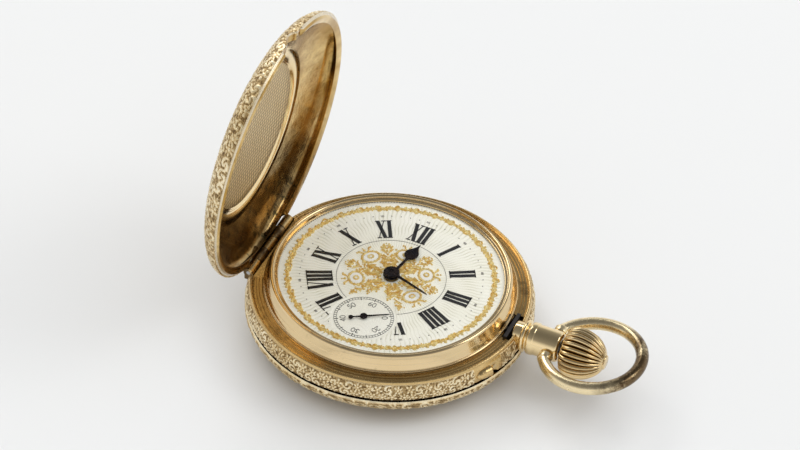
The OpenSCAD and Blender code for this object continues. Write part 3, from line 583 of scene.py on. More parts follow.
def softened(points, radius, steps=4, skip=()):
    """The closed outline with each corner rounded by a short curve; skip names corners left sharp."""
    out = []
    n = len(points)
    for i, corner in enumerate(points):
        corner = np.array(corner, float)
        if i in skip:
            out.append(corner)
            continue
        before, after = np.array(points[i - 1], float), np.array(points[(i + 1) % n], float)
        back, ahead = before - corner, after - corner
        cut = min(radius, 0.45 * np.linalg.norm(back), 0.45 * np.linalg.norm(ahead))
        start = corner + back / np.linalg.norm(back) * cut
        end = corner + ahead / np.linalg.norm(ahead) * cut
        for t in np.linspace(0, 1, steps):
            out.append((1 - t) ** 2 * start + 2 * t * (1 - t) * corner + t ** 2 * end)
    return np.array(out)


def moved(verts, matrix):
    verts = np.asarray(verts, float)
    m = np.array(matrix)
    return verts @ m[:3, :3].T + m[:3, 3]


def on_x(verts):
    """Turns a shape lathed about Z so that its axis lies along +X at the stem's height."""
    v = np.asarray(verts, float)
    return np.stack([v[:, 2], v[:, 0], v[:, 1] + STEM_Z], -1)


def dome(r, h, fullness, start, end, steps):
    """Superellipse from its rim (0 degrees) to its middle (90 degrees), as (r, z) points."""
    t = np.radians(np.linspace(start, end, steps))
    return np.stack([r * np.cos(t).clip(0) ** (2 / fullness), h * np.sin(t) ** (2 / fullness)], -1)


def tube(path, radii, segments):
    """Round tube along an open path, with flat ends."""
    path = np.asarray(path, float)
    n = len(path)
    tangent = np.gradient(path, axis=0)
    tangent /= np.linalg.norm(tangent, axis=1)[:, None]
    side = np.cross(tangent[0], [0, 0, 1.0])
    if np.linalg.norm(side) < 1e-3:
        side = np.cross(tangent[0], [0, 1.0, 0])
    verts = []
    for i in range(n):
        side = side - tangent[i] * (side @ tangent[i])
        side /= np.linalg.norm(side)
        up = np.cross(tangent[i], side)
        a = np.arange(segments) * TAU / segments
        verts.append(path[i] + radii[i] * (np.outer(np.cos(a), side) + np.outer(np.sin(a), up)))
    return np.concatenate(verts), capped_faces(n, segments)


def slab(outline, z0, z1, chamfer=0.0):
    """Flat plate from a counter-clockwise outline, with a chamfered upper edge."""
    o = np.asarray(outline, float)
    n = len(o)
    layers = [(o, z0)]
    if chamfer:
        ahead, back = np.roll(o, -1, 0) - o, o - np.roll(o, 1, 0)
        normal = np.stack([-(ahead + back)[:, 1], (ahead + back)[:, 0]], -1)
        normal /= np.linalg.norm(normal, axis=1)[:, None] + 1e-12
        layers += [(o, z1 - chamfer), (o + normal * chamfer, z1)]
    else:
        layers.append((o, z1))
    verts = np.concatenate([np.column_stack([p, np.full(n, z)]) for p, z in layers])
    return verts, capped_faces(len(layers), n)


def circle(r, n=32, centre=(0, 0)):
    a = np.arange(n) * TAU / n
    return np.stack([centre[0] + r * np.cos(a), centre[1] + r * np.sin(a)], -1)


def ball(centre, r, flat, rings, segments):
    """Half ball standing on its centre's level, flattened by flat."""
    rows = [(r * math.cos(t), r * flat * math.sin(t))
            for t in np.linspace(0, math.pi / 2 * 0.96, rings)]
    a = np.arange(segments) * TAU / segments
    verts = [np.column_stack([centre[0] + p * np.cos(a), centre[1] + p * np.sin(a),
                              np.full(segments, centre[2] + z)]) for p, z in rows]
    return np.concatenate(verts), capped_faces(rings, segments)


def turned(points, angle, centre=(0, 0)):
    """Points turned clockwise from XII by an angle in degrees, then moved."""
    a = -math.radians(angle)
    x, y = np.asarray(points, float).T
    return np.stack([x * math.cos(a) - y * math.sin(a) + centre[0],
                     x * math.sin(a) + y * math.cos(a) + centre[1]], -1)


def from_seconds(points):
    """Distance from the middle of the seconds dial."""
    return np.hypot(*(np.asarray(points)[..., :2] - SECONDS_XY).T)


# ---- Engraving: rosettes and scrolls laid over a curved shell ----


MOTIF_SPACING, MOTIF_SIZE, RELIEF_DEPTH = 2.3, 1.28, 0.21
# The relief value that stays on the shell's own surface
RELIEF_LEVEL = 0.55
GROUND_CELL = 0.27


def motif_centres(profile, spacing):
    """Scattered centres on a surface of revolution, about one spacing apart."""
    p = np.asarray(profile, float)
    steps = np.linalg.norm(np.diff(p, axis=0), axis=1)
    length = np.concatenate([[0], np.cumsum(steps)])
    centres = []
    row_gap = spacing * 0.86
    for k in range(int(length[-1] / row_gap) + 1):
        s = (k + 0.5) * row_gap
        r = np.interp(s, length, p[:, 0])
        z = np.interp(s, length, p[:, 1])
        n = max(1, int(round(TAU * r / spacing)))
        for i in range(n):
            a = (i + 0.5 * (k % 2) + rng.uniform(-0.16, 0.16)) * TAU / n
            lift = rng.uniform(-0.12, 0.12) * spacing
            centres.append((r * math.cos(a), r * math.sin(a), z + lift * 0.3))
    return np.array(centres)


def engraving(points, centres, size):
    """Relief from 0 (matted ground) to 1 (crest of a leaf) at each point."""
    tree = KDTree(len(centres))
    for i, c in enumerate(centres):
        tree.insert(c, i)
    tree.balance()
    turn = rng.uniform(0, TAU, len(centres))
    petals = rng.integers(5, 8, len(centres))
    scroll = rng.random(len(centres)) < 0.38
    near = np.array([tree.find(p)[1] for p in points])
    offset = points - centres[near]
    around = np.arctan2(points[:, 1], points[:, 0])
    along = np.stack([-np.sin(around), np.cos(around), np.zeros_like(around)], -1)
    a = (offset * along).sum(1)
    across = offset - along * a[:, None]
    inward = across[:, 0] * np.cos(around) + across[:, 1] * np.sin(around)
    sign = np.sign(across[:, 2] * 0.8 - inward)
    b = np.linalg.norm(across, axis=1) * sign
    rho = np.hypot(a, b) / size
    phi = np.arctan2(b, a) + turn[near]
    edge = 0.62 + 0.36 * np.cos(petals[near] * phi)
    flower = np.clip((edge - rho) / 0.16, 0, 1) * (0.72 + 0.28 * np.cos(rho * 9))
    boss = np.clip((0.24 - rho) / 0.08, 0, 1)
    groove = np.clip(1 - np.abs(rho - 0.3) / 0.07, 0, 1)
    flower = np.maximum(flower * (1 - 0.8 * groove), boss)
    arms = 0.5 + 0.5 * np.cos(2 * phi + 7.5 * rho)
    curl = np.clip((arms - 0.45) / 0.3, 0, 1) * np.clip((1.05 - rho) / 0.2, 0, 1)
    relief = np.where(scroll[near], curl, flower)
    cell = np.floor(points / GROUND_CELL).astype(int) @ [73, 179, 283]
    ground = 0.05 + 0.24 * rng.random(4096)[cell % 4096]
    return np.maximum(relief, ground)


def push_out(points, height, centre_z):
    """Moves points along the shell's outward direction by a height."""
    out = points - [0, 0, centre_z]
    normal = out / (np.linalg.norm(out, axis=1)[:, None] + 1e-9) * [0.55, 0.55, 1.9]
    normal /= np.linalg.norm(normal, axis=1)[:, None] + 1e-9
    return points + normal * height[:, None]


def engrave_rows(verts, outer, first_row, centre_z, ground=None):
    """Carves the lathed rows of the outer curve and gives back the relief of every point."""
    rows = slice(first_row * SHELL_SEGMENTS, (first_row + len(outer)) * SHELL_SEGMENTS)
    carved = engraving(verts[rows], motif_centres(outer, MOTIF_SPACING), MOTIF_SIZE)
    fade = np.repeat(np.clip(np.arange(len(outer)) / 2, 0, 1), SHELL_SEGMENTS)
    if ground:
        fade = fade * np.clip(verts[rows, 2] / ground, 0, 1)
    verts[rows] = push_out(verts[rows], (carved - RELIEF_LEVEL) * fade * RELIEF_DEPTH, centre_z)
    relief = np.ones(len(verts))
    relief[rows] = carved
    return relief


# ---- Covers and case ----

OPEN = (Matrix.Translation(FRONT_HINGE) @ Matrix.Rotation(math.radians(-COVER_OPEN), 4, "Y")
        @ Matrix.Translation(-FRONT_HINGE))
SHELL_SEGMENTS = 560
FRONT_ROWS, REAR_ROWS, DISC_ROWS = 104, 96, 10
RIM_R = 23.55  # outside this radius the front cover's edge is plain rim gold
# Clearances cut in the covers' rims: radii round the pins and the stem, and the catch's height
KNUCKLE_ROOM, REAR_KNUCKLE_ROOM, STEM_ROOM, CATCH_ROOM = 1.3, 1.15, 2.5, 0.72
# Half lengths of the hinges and of the catch
HINGE_HALF, REAR_HINGE_HALF, CATCH_HALF = 8.15, 5.05, 3.6
REAR_WALL, REAR_FLOOR = 0.72, 0.6


def knuckle(y0, y1, r, centre, leaf=None):
    """Hinge knuckle along Y with rounded ends and an optional leaf that joins it to the shell."""
    parts = Parts()
    half = (y1 - y0) / 2
    v, f = lathe(softened(rect(0.36, -half, r, half), 0.12, 3), 40)
    v = np.stack([v[:, 0], v[:, 2] + (y0 + y1) / 2, v[:, 1]], -1) + [centre[0], 0, centre[1]]
    parts.add(v, f)
    if leaf:
        x0, x1, z0, z1 = leaf
        v, f = slab(softened(rect(x0, z0, x1, z1), 0.12, 3), y0 + 0.05, y1 - 0.05)
        v = np.stack([v[:, 0] + centre[0], v[:, 2], v[:, 1] + centre[1]], -1)
        parts.add(v, f)
    return parts


def even_rows(profile, rows):
    """The same curve with its points spread evenly along its length."""
    p = np.asarray(profile, float)
    length = np.concatenate([[0], np.cumsum(np.linalg.norm(np.diff(p, axis=0), axis=1))])
    s = np.linspace(0, length[-1], rows)
    return np.stack([np.interp(s, length, p[:, 0]), np.interp(s, length, p[:, 1])], -1)


def make_front_cover():
    """Engraved shell; inside it a matted disc, a moulding and a polished ring; two knuckles."""
    outer = even_rows(dome(COVER_R, COVER_H, COVER_FULLNESS, 3, 90, 500), FRONT_ROWS)
    outer[-1, 0] = 0
    edge = softened([(22.15, 0.0), (23.3, 0.0), (23.62, 0.4), (23.82, 0.6)], 0.08, 3, skip=(0,))[1:]
    vault = dome(23.45, 5.55, COVER_FULLNESS, 90, 10, 300)
    vault[0, 0] = 0
    disc_r, step = 13.1, 0.22

    def under(r):
        return np.interp(r, vault[:, 0], vault[:, 1])

    disc = [(0.0, 5.55 - step)] + [(r, under(r) - step) for r in np.linspace(1.2, disc_r, DISC_ROWS - 1)]
    moulding = [(r, under(r) - step * 0.6 + lift * 0.7) for r, lift in
                ((13.2, 0.02), (13.35, -0.14), (13.5, 0.02), (13.65, -0.12), (13.8, 0.0),
                 (14.1, -0.26), (14.6, -0.34), (15.1, -0.28), (15.6, -0.05), (15.75, 0.1))]
    polished = even_rows(vault[vault[:, 0] > 15.95], 18)
    foot = [(22.9, 0.72), (22.4, 0.7), (22.18, 0.62), (22.15, 0.45)]
    profile = np.concatenate([edge, outer, disc, moulding, polished, foot])
    verts, faces = lathe(profile, SHELL_SEGMENTS)
    relief = engrave_rows(verts, outer, len(edge), 0.0)
    verts = front_cover_cuts(verts)
    index = [2 if r > RIM_R else 1 for r in edge[:, 0]] + [0] * FRONT_ROWS
    index += [3] * DISC_ROWS + [4] * len(moulding) + [1] * (len(polished) + len(foot))
    verts[:, 2] += RIM_Z
    verts = moved(verts, OPEN)
    piece("front_cover_shell", verts, faces, ["engraved", "inside", "rim", "turned", "gold"], "front_cover",
          "front_cover", replaces=("front_cover",), indices=np.repeat(index, SHELL_SEGMENTS),
          relief=relief, sharp=50, merge=True)
    knuckles = Parts()
    for y0, y1 in ((-4.8, -1.7), (1.7, 4.8)):
        part = knuckle(y0, y1, 0.9, (FRONT_HINGE.x, RIM_Z), leaf=(-0.5, 0.45, 0.3, 2.1))
        knuckles.add(moved(np.concatenate(part.verts), OPEN), part.faces)
    knuckles.make("front_cover_knuckles", ["worn"], "front_cover", "front_cover")


def front_cover_cuts(verts):
    """Leaves room in the closed cover's rim for the case knuckles, the stem and the catch."""
    v = verts.copy()
    x, y, z = v.T
    from_pin = x - FRONT_HINGE.x
    inside = (x < 0) & (np.abs(y) < HINGE_HALF) & (np.hypot(from_pin, z) < KNUCKLE_ROOM)
    v[inside, 2] = np.sqrt(np.maximum(KNUCKLE_ROOM ** 2 - from_pin[inside] ** 2, 0))
    stem = STEM_Z - RIM_Z
    inside = (x > 21.5) & (np.hypot(y, z - stem) < STEM_ROOM)
    v[inside, 2] = stem + np.sqrt(np.maximum(STEM_ROOM ** 2 - y[inside] ** 2, 0))
    catch = (x > 21.8) & (x < 23.6) & (np.abs(y) < CATCH_HALF)
    v[catch & (z < CATCH_ROOM), 2] = CATCH_ROOM
    return v


def rear_dome(r, depth, start, end, steps, rows, lowest):
    """Bowl below the rear rim with a flat bottom at the lowest level."""
    p = dome(r, depth, REAR_FULLNESS, start, end, steps)
    p = even_rows(np.column_stack([p[:, 0], REAR_RIM_Z - p[:, 1]]), rows)
    p[:, 1] = np.maximum(p[:, 1], lowest)
    return p


def make_rear_cover():
    """Engraved bowl with a flat bottom, a polished inside and one knuckle."""
    outer = rear_dome(REAR_R, REAR_DEPTH, 2, 90, 400, REAR_ROWS, 0.0)
    outer[-1, 0] = 0
    lip = [(23.95, REAR_RIM_Z), (24.7, REAR_RIM_Z)]
    inner = rear_dome(REAR_R - REAR_WALL, REAR_DEPTH - REAR_FLOOR, 90, 6, 200, 30, REAR_FLOOR)
    inner[0, 0] = 0
    inner = inner[inner[:, 0] < 23.9]
    verts, faces = lathe(np.concatenate([lip, outer, inner]), SHELL_SEGMENTS)
    relief = engrave_rows(verts, outer, len(lip), REAR_RIM_Z, ground=0.35)
    verts[:, 2] = np.maximum(verts[:, 2], 0.0)
    verts = rear_cover_cuts(verts)
    index = [1] + [0] * (REAR_ROWS + 1) + [1] * len(inner)
    piece("rear_cover_shell", verts, faces, ["engraved", "inside"], "rear_cover", "rear_cover",
          replaces=("rear_cover",), indices=np.repeat(index, SHELL_SEGMENTS), relief=relief, sharp=50,
          merge=True)
    knuckle(-1.6, 1.6, 0.75, (REAR_HINGE.x, REAR_HINGE.z), leaf=(-0.4, 0.35, -1.4, -0.1)).make(
        "rear_cover_knuckle", ["worn"], "rear_cover", "rear_cover")


def rear_cover_cuts(verts):
    """Leaves room in the rim for the case's own rear knuckles."""
    v = verts.copy()
    x, y, z = v.T
    from_pin = x - REAR_HINGE.x
    near = np.hypot(from_pin, z - REAR_HINGE.z) < REAR_KNUCKLE_ROOM
    inside = (x < 0) & (np.abs(y) < REAR_HINGE_HALF) & near
    v[inside, 2] = REAR_HINGE.z - np.sqrt(np.maximum(REAR_KNUCKLE_ROOM ** 2 - from_pin[inside] ** 2, 0))
    return v


# The band's engraving, as (first, last) angles in degrees between its gaps
BAND_SPANS = ((-157, -31), (-16.6, -6.8), (6.8, 157))
BAND_ROWS, BAND_MOTIF_ANGLE, BAND_MOTIF_SIZE, BAND_DEPTH = 27, 3.9, 0.98, 0.16


def band_centres(first, last):
    """Motif centres in two staggered rows round one span of the band."""
    centres = []
    for row, z in enumerate((6.8, 8.35)):
        count = int((last - first) / BAND_MOTIF_ANGLE)
        for i in range(count):
            along = i + 0.5 + 0.5 * (row % 2) + rng.uniform(-0.14, 0.14)
            a = math.radians(first + along * (last - first) / count)
            centres.append((24.8 * math.cos(a), 24.8 * math.sin(a), z + rng.uniform(-0.1, 0.1)))
    return np.array(centres)


def make_band():
    """Engraved skin over the case band between the covers, left open at the hinge, stem and set pin."""
    heights = np.linspace(REAR_RIM_Z + 0.38, 9.16, BAND_ROWS)
    radii = np.interp(heights, [5.95, 6.4, 7.1, 7.9, 8.7, 9.2], [24.56, 24.75, 24.8, 24.75, 24.55, 24.3])
    verts, faces, relief, count = [], [], [], 0
    for first, last in BAND_SPANS:
        n = int((last - first) * 3.7)
        angles = np.radians(np.linspace(first, last, n))
        outward = np.stack([np.cos(angles), np.sin(angles), np.zeros(n)], -1)
        base = radii[:, None, None] * outward[None] + heights[:, None, None] * [0, 0, 1]
        base = base.reshape(-1, 3)
        out = np.tile(outward, (BAND_ROWS, 1))
        carved = engraving(base, band_centres(first, last), BAND_MOTIF_SIZE)
        from_edge = np.minimum(np.arange(BAND_ROWS), BAND_ROWS - 1 - np.arange(BAND_ROWS))
        edge = np.repeat(np.clip(from_edge / 1.5, 0, 1), n)
        size = BAND_ROWS * n
        verts += [base + out * (0.02 + carved * BAND_DEPTH * edge)[:, None], base - out * 0.03]
        relief += [np.where(edge > 0.2, carved, 0.5), np.ones(size)]
        front = grid_faces(BAND_ROWS, n, close_cols=False)
        faces += [tuple(i + count for i in f) for f in front]
        faces += [tuple(i + count + size for i in f[::-1]) for f in front]
        last_row = BAND_ROWS - 1
        loop = list(range(n)) + [i * n + n - 1 for i in range(1, BAND_ROWS)]
        loop += [last_row * n + j for j in range(n - 2, -1, -1)]
        loop += [i * n for i in range(last_row - 1, 0, -1)]
        for a, b in zip(loop, loop[1:] + loop[:1]):
            faces.append((count + a, count + a + size, count + b + size, count + b))
        count += 2 * size
    piece("engraved_band", np.concatenate(verts), faces, ["engraved"], "case", "mid_case",
          relief=np.concatenate(relief), sharp=60)


def make_band_top():
    """Turned ledge between the bezel and the bead, with fine lines cut round it."""
    ledge = [(21.93, 9.17), (21.93, 9.5), (22.03, 9.46), (22.1, 9.27), (22.52, 9.27), (22.58, 9.2),
             (22.64, 9.27), (23.02, 9.26), (23.08, 9.19), (23.14, 9.26), (23.55, 9.25), (23.7, 9.17)]
    v, f = lathe(ledge, 360)
    angle = np.abs(np.degrees(np.arctan2(v[:360, 1], v[:360, 0])))
    kept = (angle > 7.5) & (angle < 159)
    faces = [face for face in f if kept[face[0] % 360] and kept[face[1] % 360]]
    piece("band_ledge", v, faces, ["ledge"], "case", "mid_case", sharp=30)


def make_bezel():
    """Bezel with a stepped foot, a sloping wall and a rounded top."""
    ring = [(21.34, 9.27), (21.86, 9.27), (21.89, 9.45), (21.86, 9.72), (21.70, 9.80), (21.73, 9.92),
            (21.66, 10.0), (20.92, 11.75), (20.76, 12.18), (20.5, 12.42), (20.25, 12.4), (20.06, 12.2),
            (20.05, 11.96), (19.42, 11.95), (19.38, 11.66), (20.6, 11.66), (21.34, 10.9)]
    v, f = lathe(softened(ring, 0.26, 6), 384)
    piece("bezel_ring", v, f, ["bezel"], "case", "bezel", replaces=("bezel",), sharp=40)


CRYSTAL_Z = 12.15


def make_crystal():
    """Low domed glass of even thickness."""
    outer = dome(20.0, 1.6, 2.2, 4, 90, 40) + [0, CRYSTAL_Z]
    outer[-1, 0] = 0
    inner = (outer[::-1] - [0, CRYSTAL_Z]) * 0.985 + [0, CRYSTAL_Z - 0.45]
    v, f = lathe(np.concatenate([outer, inner]), 192)
    piece("crystal_glass", v, f, ["glass"], "case", "crystal", replaces=("crystal",), sharp=40, merge=True)


# ---- Pendant, crown and bow ----

def make_pendant():
    """Neck for the bow and crown, with collars at the case."""
    outline = [(1.36, 23.28), (2.2, 23.28), (2.25, 24.9), (2.85, 24.98), (2.85, 25.48), (2.3, 25.72),
               (2.28, 26.0), (2.85, 26.16), (2.85, 27.08), (2.7, 27.3), (2.7, 31.3), (2.42, 31.7),
               (1.36, 31.7)]
    v, f = lathe(softened(outline, 0.22, 4), 128)
    piece("pendant_sleeve", on_x(v), f, ["gold"], "case", "pendant", replaces=("pendant",), sharp=40)


def smooth_curve(points, steps):
    """Smooth curve through the points, with steps points for each stretch."""
    p = np.asarray(points, float)
    p = np.vstack([2 * p[0] - p[1], p, 2 * p[-1] - p[-2]])
    t = np.linspace(0, 1, steps, endpoint=False)[:, None]
    out = []
    for a, b, c, d in zip(p[:-3], p[1:-2], p[2:-1], p[3:]):
        out.append(0.5 * (2 * b + (c - a) * t + (2 * a - 5 * b + 4 * c - d) * t ** 2
                          + (3 * b - a - 3 * c + d) * t ** 3))
    return np.concatenate(out + [p[-2][None]])


CROWN_RIDGES, RIDGE_DEPTH = 26, 0.66
# The hollow in the crown's base that takes the end of the pendant
CROWN_HOLLOW_R, CROWN_HOLLOW_X = 2.9, 33.8


def make_crown():
    """Onion crown: rounded ridges with narrow grooves that close in on the flat end."""
    swell = smooth_curve([(3.05, 32.32), (3.75, 32.7), (4.22, 33.5), (4.38, 34.5), (4.32, 35.6),
                          (4.05, 36.7), (3.56, 37.7), (2.88, 38.55), (2.12, 39.2), (1.42, 39.6)], 7)
    outline = [(0.0, CROWN_HOLLOW_X), (CROWN_HOLLOW_R, CROWN_HOLLOW_X), (2.93, 32.3), *swell,
               (1.28, 39.64), (1.24, 39.84), (1.1, 39.9), (0.0, 39.9)]
    segments = CROWN_RIDGES * 16
    angles = np.arange(segments) * TAU / segments
    groove = 1 - np.abs(np.sin(angles * CROWN_RIDGES / 2)) ** 0.7
    verts, relief = [], []
    for r, x in outline:
        run = np.clip((x - 32.4) / 0.4, 0, 1) * np.clip((39.55 - x) / 0.5, 0, 1)
        run = run * (r > 0.5) * (r != CROWN_HOLLOW_R)
        worn = 1 - 0.85 * np.exp(-((angles - 0.95) / 0.42) ** 2) * np.clip((x - 35.4) / 1.6, 0, 1)
        rr = r - RIDGE_DEPTH * run * min(1.0, r / 3.3) * worn * groove
        verts.append(np.column_stack([np.full(segments, x), rr * np.cos(angles), rr * np.sin(angles)]))
        relief.append(1 - groove * np.clip(run * worn * 1.2, 0, 1))
    verts = np.concatenate(verts) + [0, 0, STEM_Z]
    piece("crown_onion", verts, grid_faces(len(outline), segments), ["crown"], "crown", "crown",
          replaces=("crown",), relief=np.concatenate(relief), sharp=60, merge=True)


BOW_LIFT, BOW_WIRE, BOW_END = 5, 1.1, 0.88


def make_bow():
    """Round wire loop whose ends curve in to two eyes on the pendant."""
    centre_x, loop_r = 37.53 - BOW_PIVOT.x, 8.3
    start = math.radians(180 - 28)
    angles = np.linspace(start, -start, 150)
    path = np.stack([centre_x + loop_r * np.cos(angles), loop_r * np.sin(angles), 0 * angles], -1)
    ends = []
    for side in (1, -1):
        first = path[0] if side > 0 else path[-1]
        target = np.array([0.15, side * 3.62, 0])
        t = np.linspace(0, 1, 9)[:-1][:, None]
        mid = np.array([0.25 * first[0], first[1] + 0.12 * side, 0])
        ends.append((1 - t) ** 2 * target + 2 * t * (1 - t) * mid + t ** 2 * first)
    path = np.concatenate([ends[0], path, ends[1][::-1]])
    radii = np.full(len(path), BOW_WIRE)
    radii[:8] = np.linspace(BOW_END, BOW_WIRE, 8)
    radii[-8:] = radii[:8][::-1]
    parts = Parts()
    parts.add(*tube(path, radii, 32))
    for side in (1, -1):
        eye, faces = lathe(softened(rect(0.0, -0.72, 1.25, 0.72), 0.3, 5, skip=(0, 3)), 48)
        parts.add(eye[:, [0, 2, 1]] + [0, side * 3.6, 0], faces)
        pin, faces = lathe(rect(0.0, 0.0, 0.5, 3.0), 32)
        parts.add((pin[:, [0, 2, 1]] + [0, 1.6, 0]) * [1, side, 1], faces)
        head, faces = ball((0, 0, 0), 0.72, 0.85, 7, 32)
        parts.add((head[:, [0, 2, 1]] + [0, 4.2, 0]) * [1, side, 1], faces, 1)
    tilt = Matrix.Rotation(math.radians(-BOW_LIFT), 4, "Y")
    parts.verts = [moved(v, tilt) + np.array(BOW_PIVOT) for v in parts.verts]
    parts.make("bow_wire", ["bow", "gold"], "bow", "bow", replaces=("bow",), sharp=40, merge=True)


# ---- Dial ----

SECONDS_R = 5.7
SECONDS_DEPTH = 0.115
ENGINE_WAVES, EDGE_DOTS = 132, 252
CENTRE_LINE_R = 9.42  # the line round the centre ornament


def make_dial():
    """Silvered plate with fine radial engine turning, a sunk seconds dial and a plain margin."""
    segments = 1080
    radii = np.concatenate([[1.3], np.linspace(1.6, 9.2, 20), [9.3, CENTRE_LINE_R, 9.55],
                            np.linspace(9.8, 19.2, 36), [19.4, 20.2]])
    angles = np.arange(segments) * TAU / segments
    r, a = np.meshgrid(radii, angles, indexing="ij")
    x, y = r * np.cos(a), r * np.sin(a)
    wave = np.sin(ENGINE_WAVES * a + 0.9 * np.sin(r * 2.1 + 5 * a))
    wave = wave * (0.7 + 0.3 * np.sin(9 * a + 1.3 * r))
    amount = np.clip((r - 1.6) / 1.0, 0, 1) * np.clip((19.3 - r) / 0.5, 0, 1)
    line = np.exp(-((r - CENTRE_LINE_R) / 0.06) ** 2)
    height = 0.028 * wave * amount - 0.05 * line
    dx, dy = x - SECONDS_XY[0], y - SECONDS_XY[1]
    away = np.hypot(dx, dy)
    sunk = np.clip((SECONDS_R - away) / 0.25, 0, 1)
    ring = 0.02 * np.sin(away * 16) * (away < 3.6) * (away > 0.8)
    rays = 0.008 * np.sin(90 * np.arctan2(dy, dx)) * (away < 3.2) * (away > 0.9)
    height = height * (1 - sunk) + (ring + rays - SECONDS_DEPTH) * sunk
    z = DIAL_Z - 0.03 + height
    # Painted shade: low relief values darken the dial's colour in the troughs of the engine-turned waves
    # and in the cut line round the centre
    relief = (0.5 + 0.5 * wave) * amount * (1 - sunk) + (1 - amount) * 0.8 + sunk * 0.8 * amount
    relief = relief * (1 - 0.9 * line * (1 - sunk))
    top = np.stack([x, y, z], -1).reshape(-1, 3)
    under = [np.column_stack([circle(q, segments), np.full(segments, DIAL_Z - 0.5)])
             for q in (radii[-1], radii[0])]
    verts = np.concatenate([top, *under])
    faces = grid_faces(len(radii) + 2, segments, close_rows=True)
    relief = np.concatenate([relief.reshape(-1), np.ones(2 * segments)])
    piece("dial_plate", verts, faces, ["silver"], "case", "dial", replaces=("dial",), relief=relief,
          sharp=70)


NUMERALS = {1: "I", 2: "II", 3: "III", 4: "IIII", 5: "V", 7: "VII", 8: "VIII", 9: "IX", 10: "X",
            11: "XI", 12: "XII"}
NUMERAL_R = (10.1, 14.45)
LETTER_WIDTHS = {"I": 0.98, "V": 2.05, "X": 2.0}
THICK, THIN, SERIF = 0.66, 0.15, 0.17
FOOT_TAPER = 0.86  # the letters stand closer together at their feet


def bar(parts, x0, y0, x1, y1, width, z, angle, clip=None):
    """Flat ink bar between two points of a numeral's own frame, turned to its hour."""
    d = np.array([x1 - x0, y1 - y0])
    n = np.array([-d[1], d[0]]) / np.linalg.norm(d) * width / 2
    corners = np.array([[x0, y0] - n, [x1, y1] - n, [x1, y1] + n, [x0, y0] + n])
    steps = 10
    t = np.linspace(0, 1, steps)[:, None]
    left = corners[0] * (1 - t) + corners[1] * t
    right = corners[3] * (1 - t) + corners[2] * t
    for i in range(steps - 1):
        quad = turned(np.array([left[i], left[i + 1], right[i + 1], right[i]]), angle)
        if clip and from_seconds(quad).min() < clip:
            continue
        parts.add(*slab(quad, z - 0.02, z + 0.035))


def make_numerals():
    """Roman numerals with their feet to the centre; bars are thick, with hairline serifs."""
    parts = Parts()
    low, high = NUMERAL_R
    z = DIAL_Z + 0.02
    for hour, text in NUMERALS.items():
        x = -sum(LETTER_WIDTHS[c] for c in text) / 2
        clip = SECONDS_R + 0.05 if hour in (5, 7) else None

        def line(x0, y0, x1, y1, width):
            bar(parts, x0, y0, x1, y1, width, z, hour * 30, clip)

        for c in text:
            half = LETTER_WIDTHS[c] / 2
            cx = x + half
            if c == "I":
                line(cx * FOOT_TAPER, low, cx, high, THICK)
            elif c == "V":
                line(cx + 0.1, low, cx - half + 0.42, high, THICK)
                line(cx + 0.1, low, cx + half - 0.3, high, THIN)
            else:
                line(cx + half - 0.5, low, cx - half + 0.5, high, THICK)
                line(cx - half + 0.42, low, cx + half - 0.42, high, THIN)
            for end, narrowed in ((low, FOOT_TAPER), (high, 1)):
                if c == "V" and end == low:
                    continue
                feet, reach = ((0.0,), half - 0.04) if c == "I" else ((0.44 - half, half - 0.44), 0.4)
                for foot in feet:
                    x0 = cx * narrowed + foot
                    line(x0 - reach, end, x0 + reach, end, SERIF)
            x += 2 * half
    parts.make("hour_numerals", ["ink"], "case", "dial", sharp=20)


DIGITS = {
    "0": [(0.0, 0.25), (0.0, 0.75), (0.22, 1.0), (0.4, 1.0), (0.6, 0.75), (0.6, 0.25), (0.4, 0),
          (0.22, 0), (0, 0.25)],
    "1": [(0.12, 0.8), (0.32, 1.0), (0.32, 0.0)],
    "2": [(0.02, 0.78), (0.2, 1.0), (0.42, 1.0), (0.6, 0.78), (0.56, 0.55), (0.0, 0.0), (0.62, 0.0)],
    "3": [(0.02, 0.9), (0.3, 1.0), (0.56, 0.8), (0.28, 0.54), (0.6, 0.28), (0.3, 0.0), (0.0, 0.12)],
    "4": [(0.46, 0.0), (0.46, 1.0), (0.0, 0.3), (0.64, 0.3)],
    "5": [(0.54, 1.0), (0.1, 1.0), (0.06, 0.56), (0.36, 0.62), (0.6, 0.34), (0.34, 0.0), (0.0, 0.1)],
    "6": [(0.5, 0.96), (0.22, 0.8), (0.02, 0.36), (0.2, 0.02), (0.48, 0.04), (0.6, 0.34),
          (0.36, 0.56), (0.06, 0.4)],
}


def stroke(parts, points, width, z):
    for start, end in zip(points[:-1], points[1:]):
        d = end - start
        along = d / np.linalg.norm(d)
        n = np.array([-along[1], along[0]]) * width / 2
        a, b = start - along * width * 0.35, end + along * width * 0.35
        parts.add(*slab(np.array([a - n, b - n, b + n, a + n]), z - 0.02, z + 0.02))


def make_seconds_track():
    """Two rings, sixty marks and the tens round the seconds dial."""
    parts = Parts()
    z = DIAL_Z - SECONDS_DEPTH - 0.005
    inner_r, outer_r = 4.62, 5.08
    for r in (inner_r, outer_r):
        v, f = lathe(rect(r - 0.025, z - 0.02, r + 0.025, z + 0.02), 180)
        parts.add(v + [*SECONDS_XY, 0], f)
    for i in range(60):
        w, inner = (0.11, 4.35) if i % 5 == 0 else (0.06, inner_r)
        quad = turned(rect(-w / 2, inner, w / 2, outer_r), i * 6, SECONDS_XY)
        parts.add(*slab(quad, z - 0.02, z + 0.02))
    size = 0.95
    for i, text in enumerate(("60", "10", "20", "30", "40", "50")):
        base = turned([(0, 3.55)], i * 60)[0] + SECONDS_XY
        for x, c in zip((-0.72, 0.06), text):
            points = (np.array(DIGITS[c]) + [x, -0.5]) * size
            stroke(parts, turned(points, i * 60, base), 0.085, z)
    parts.make("seconds_track", ["ink"], "case", "dial", sharp=20)


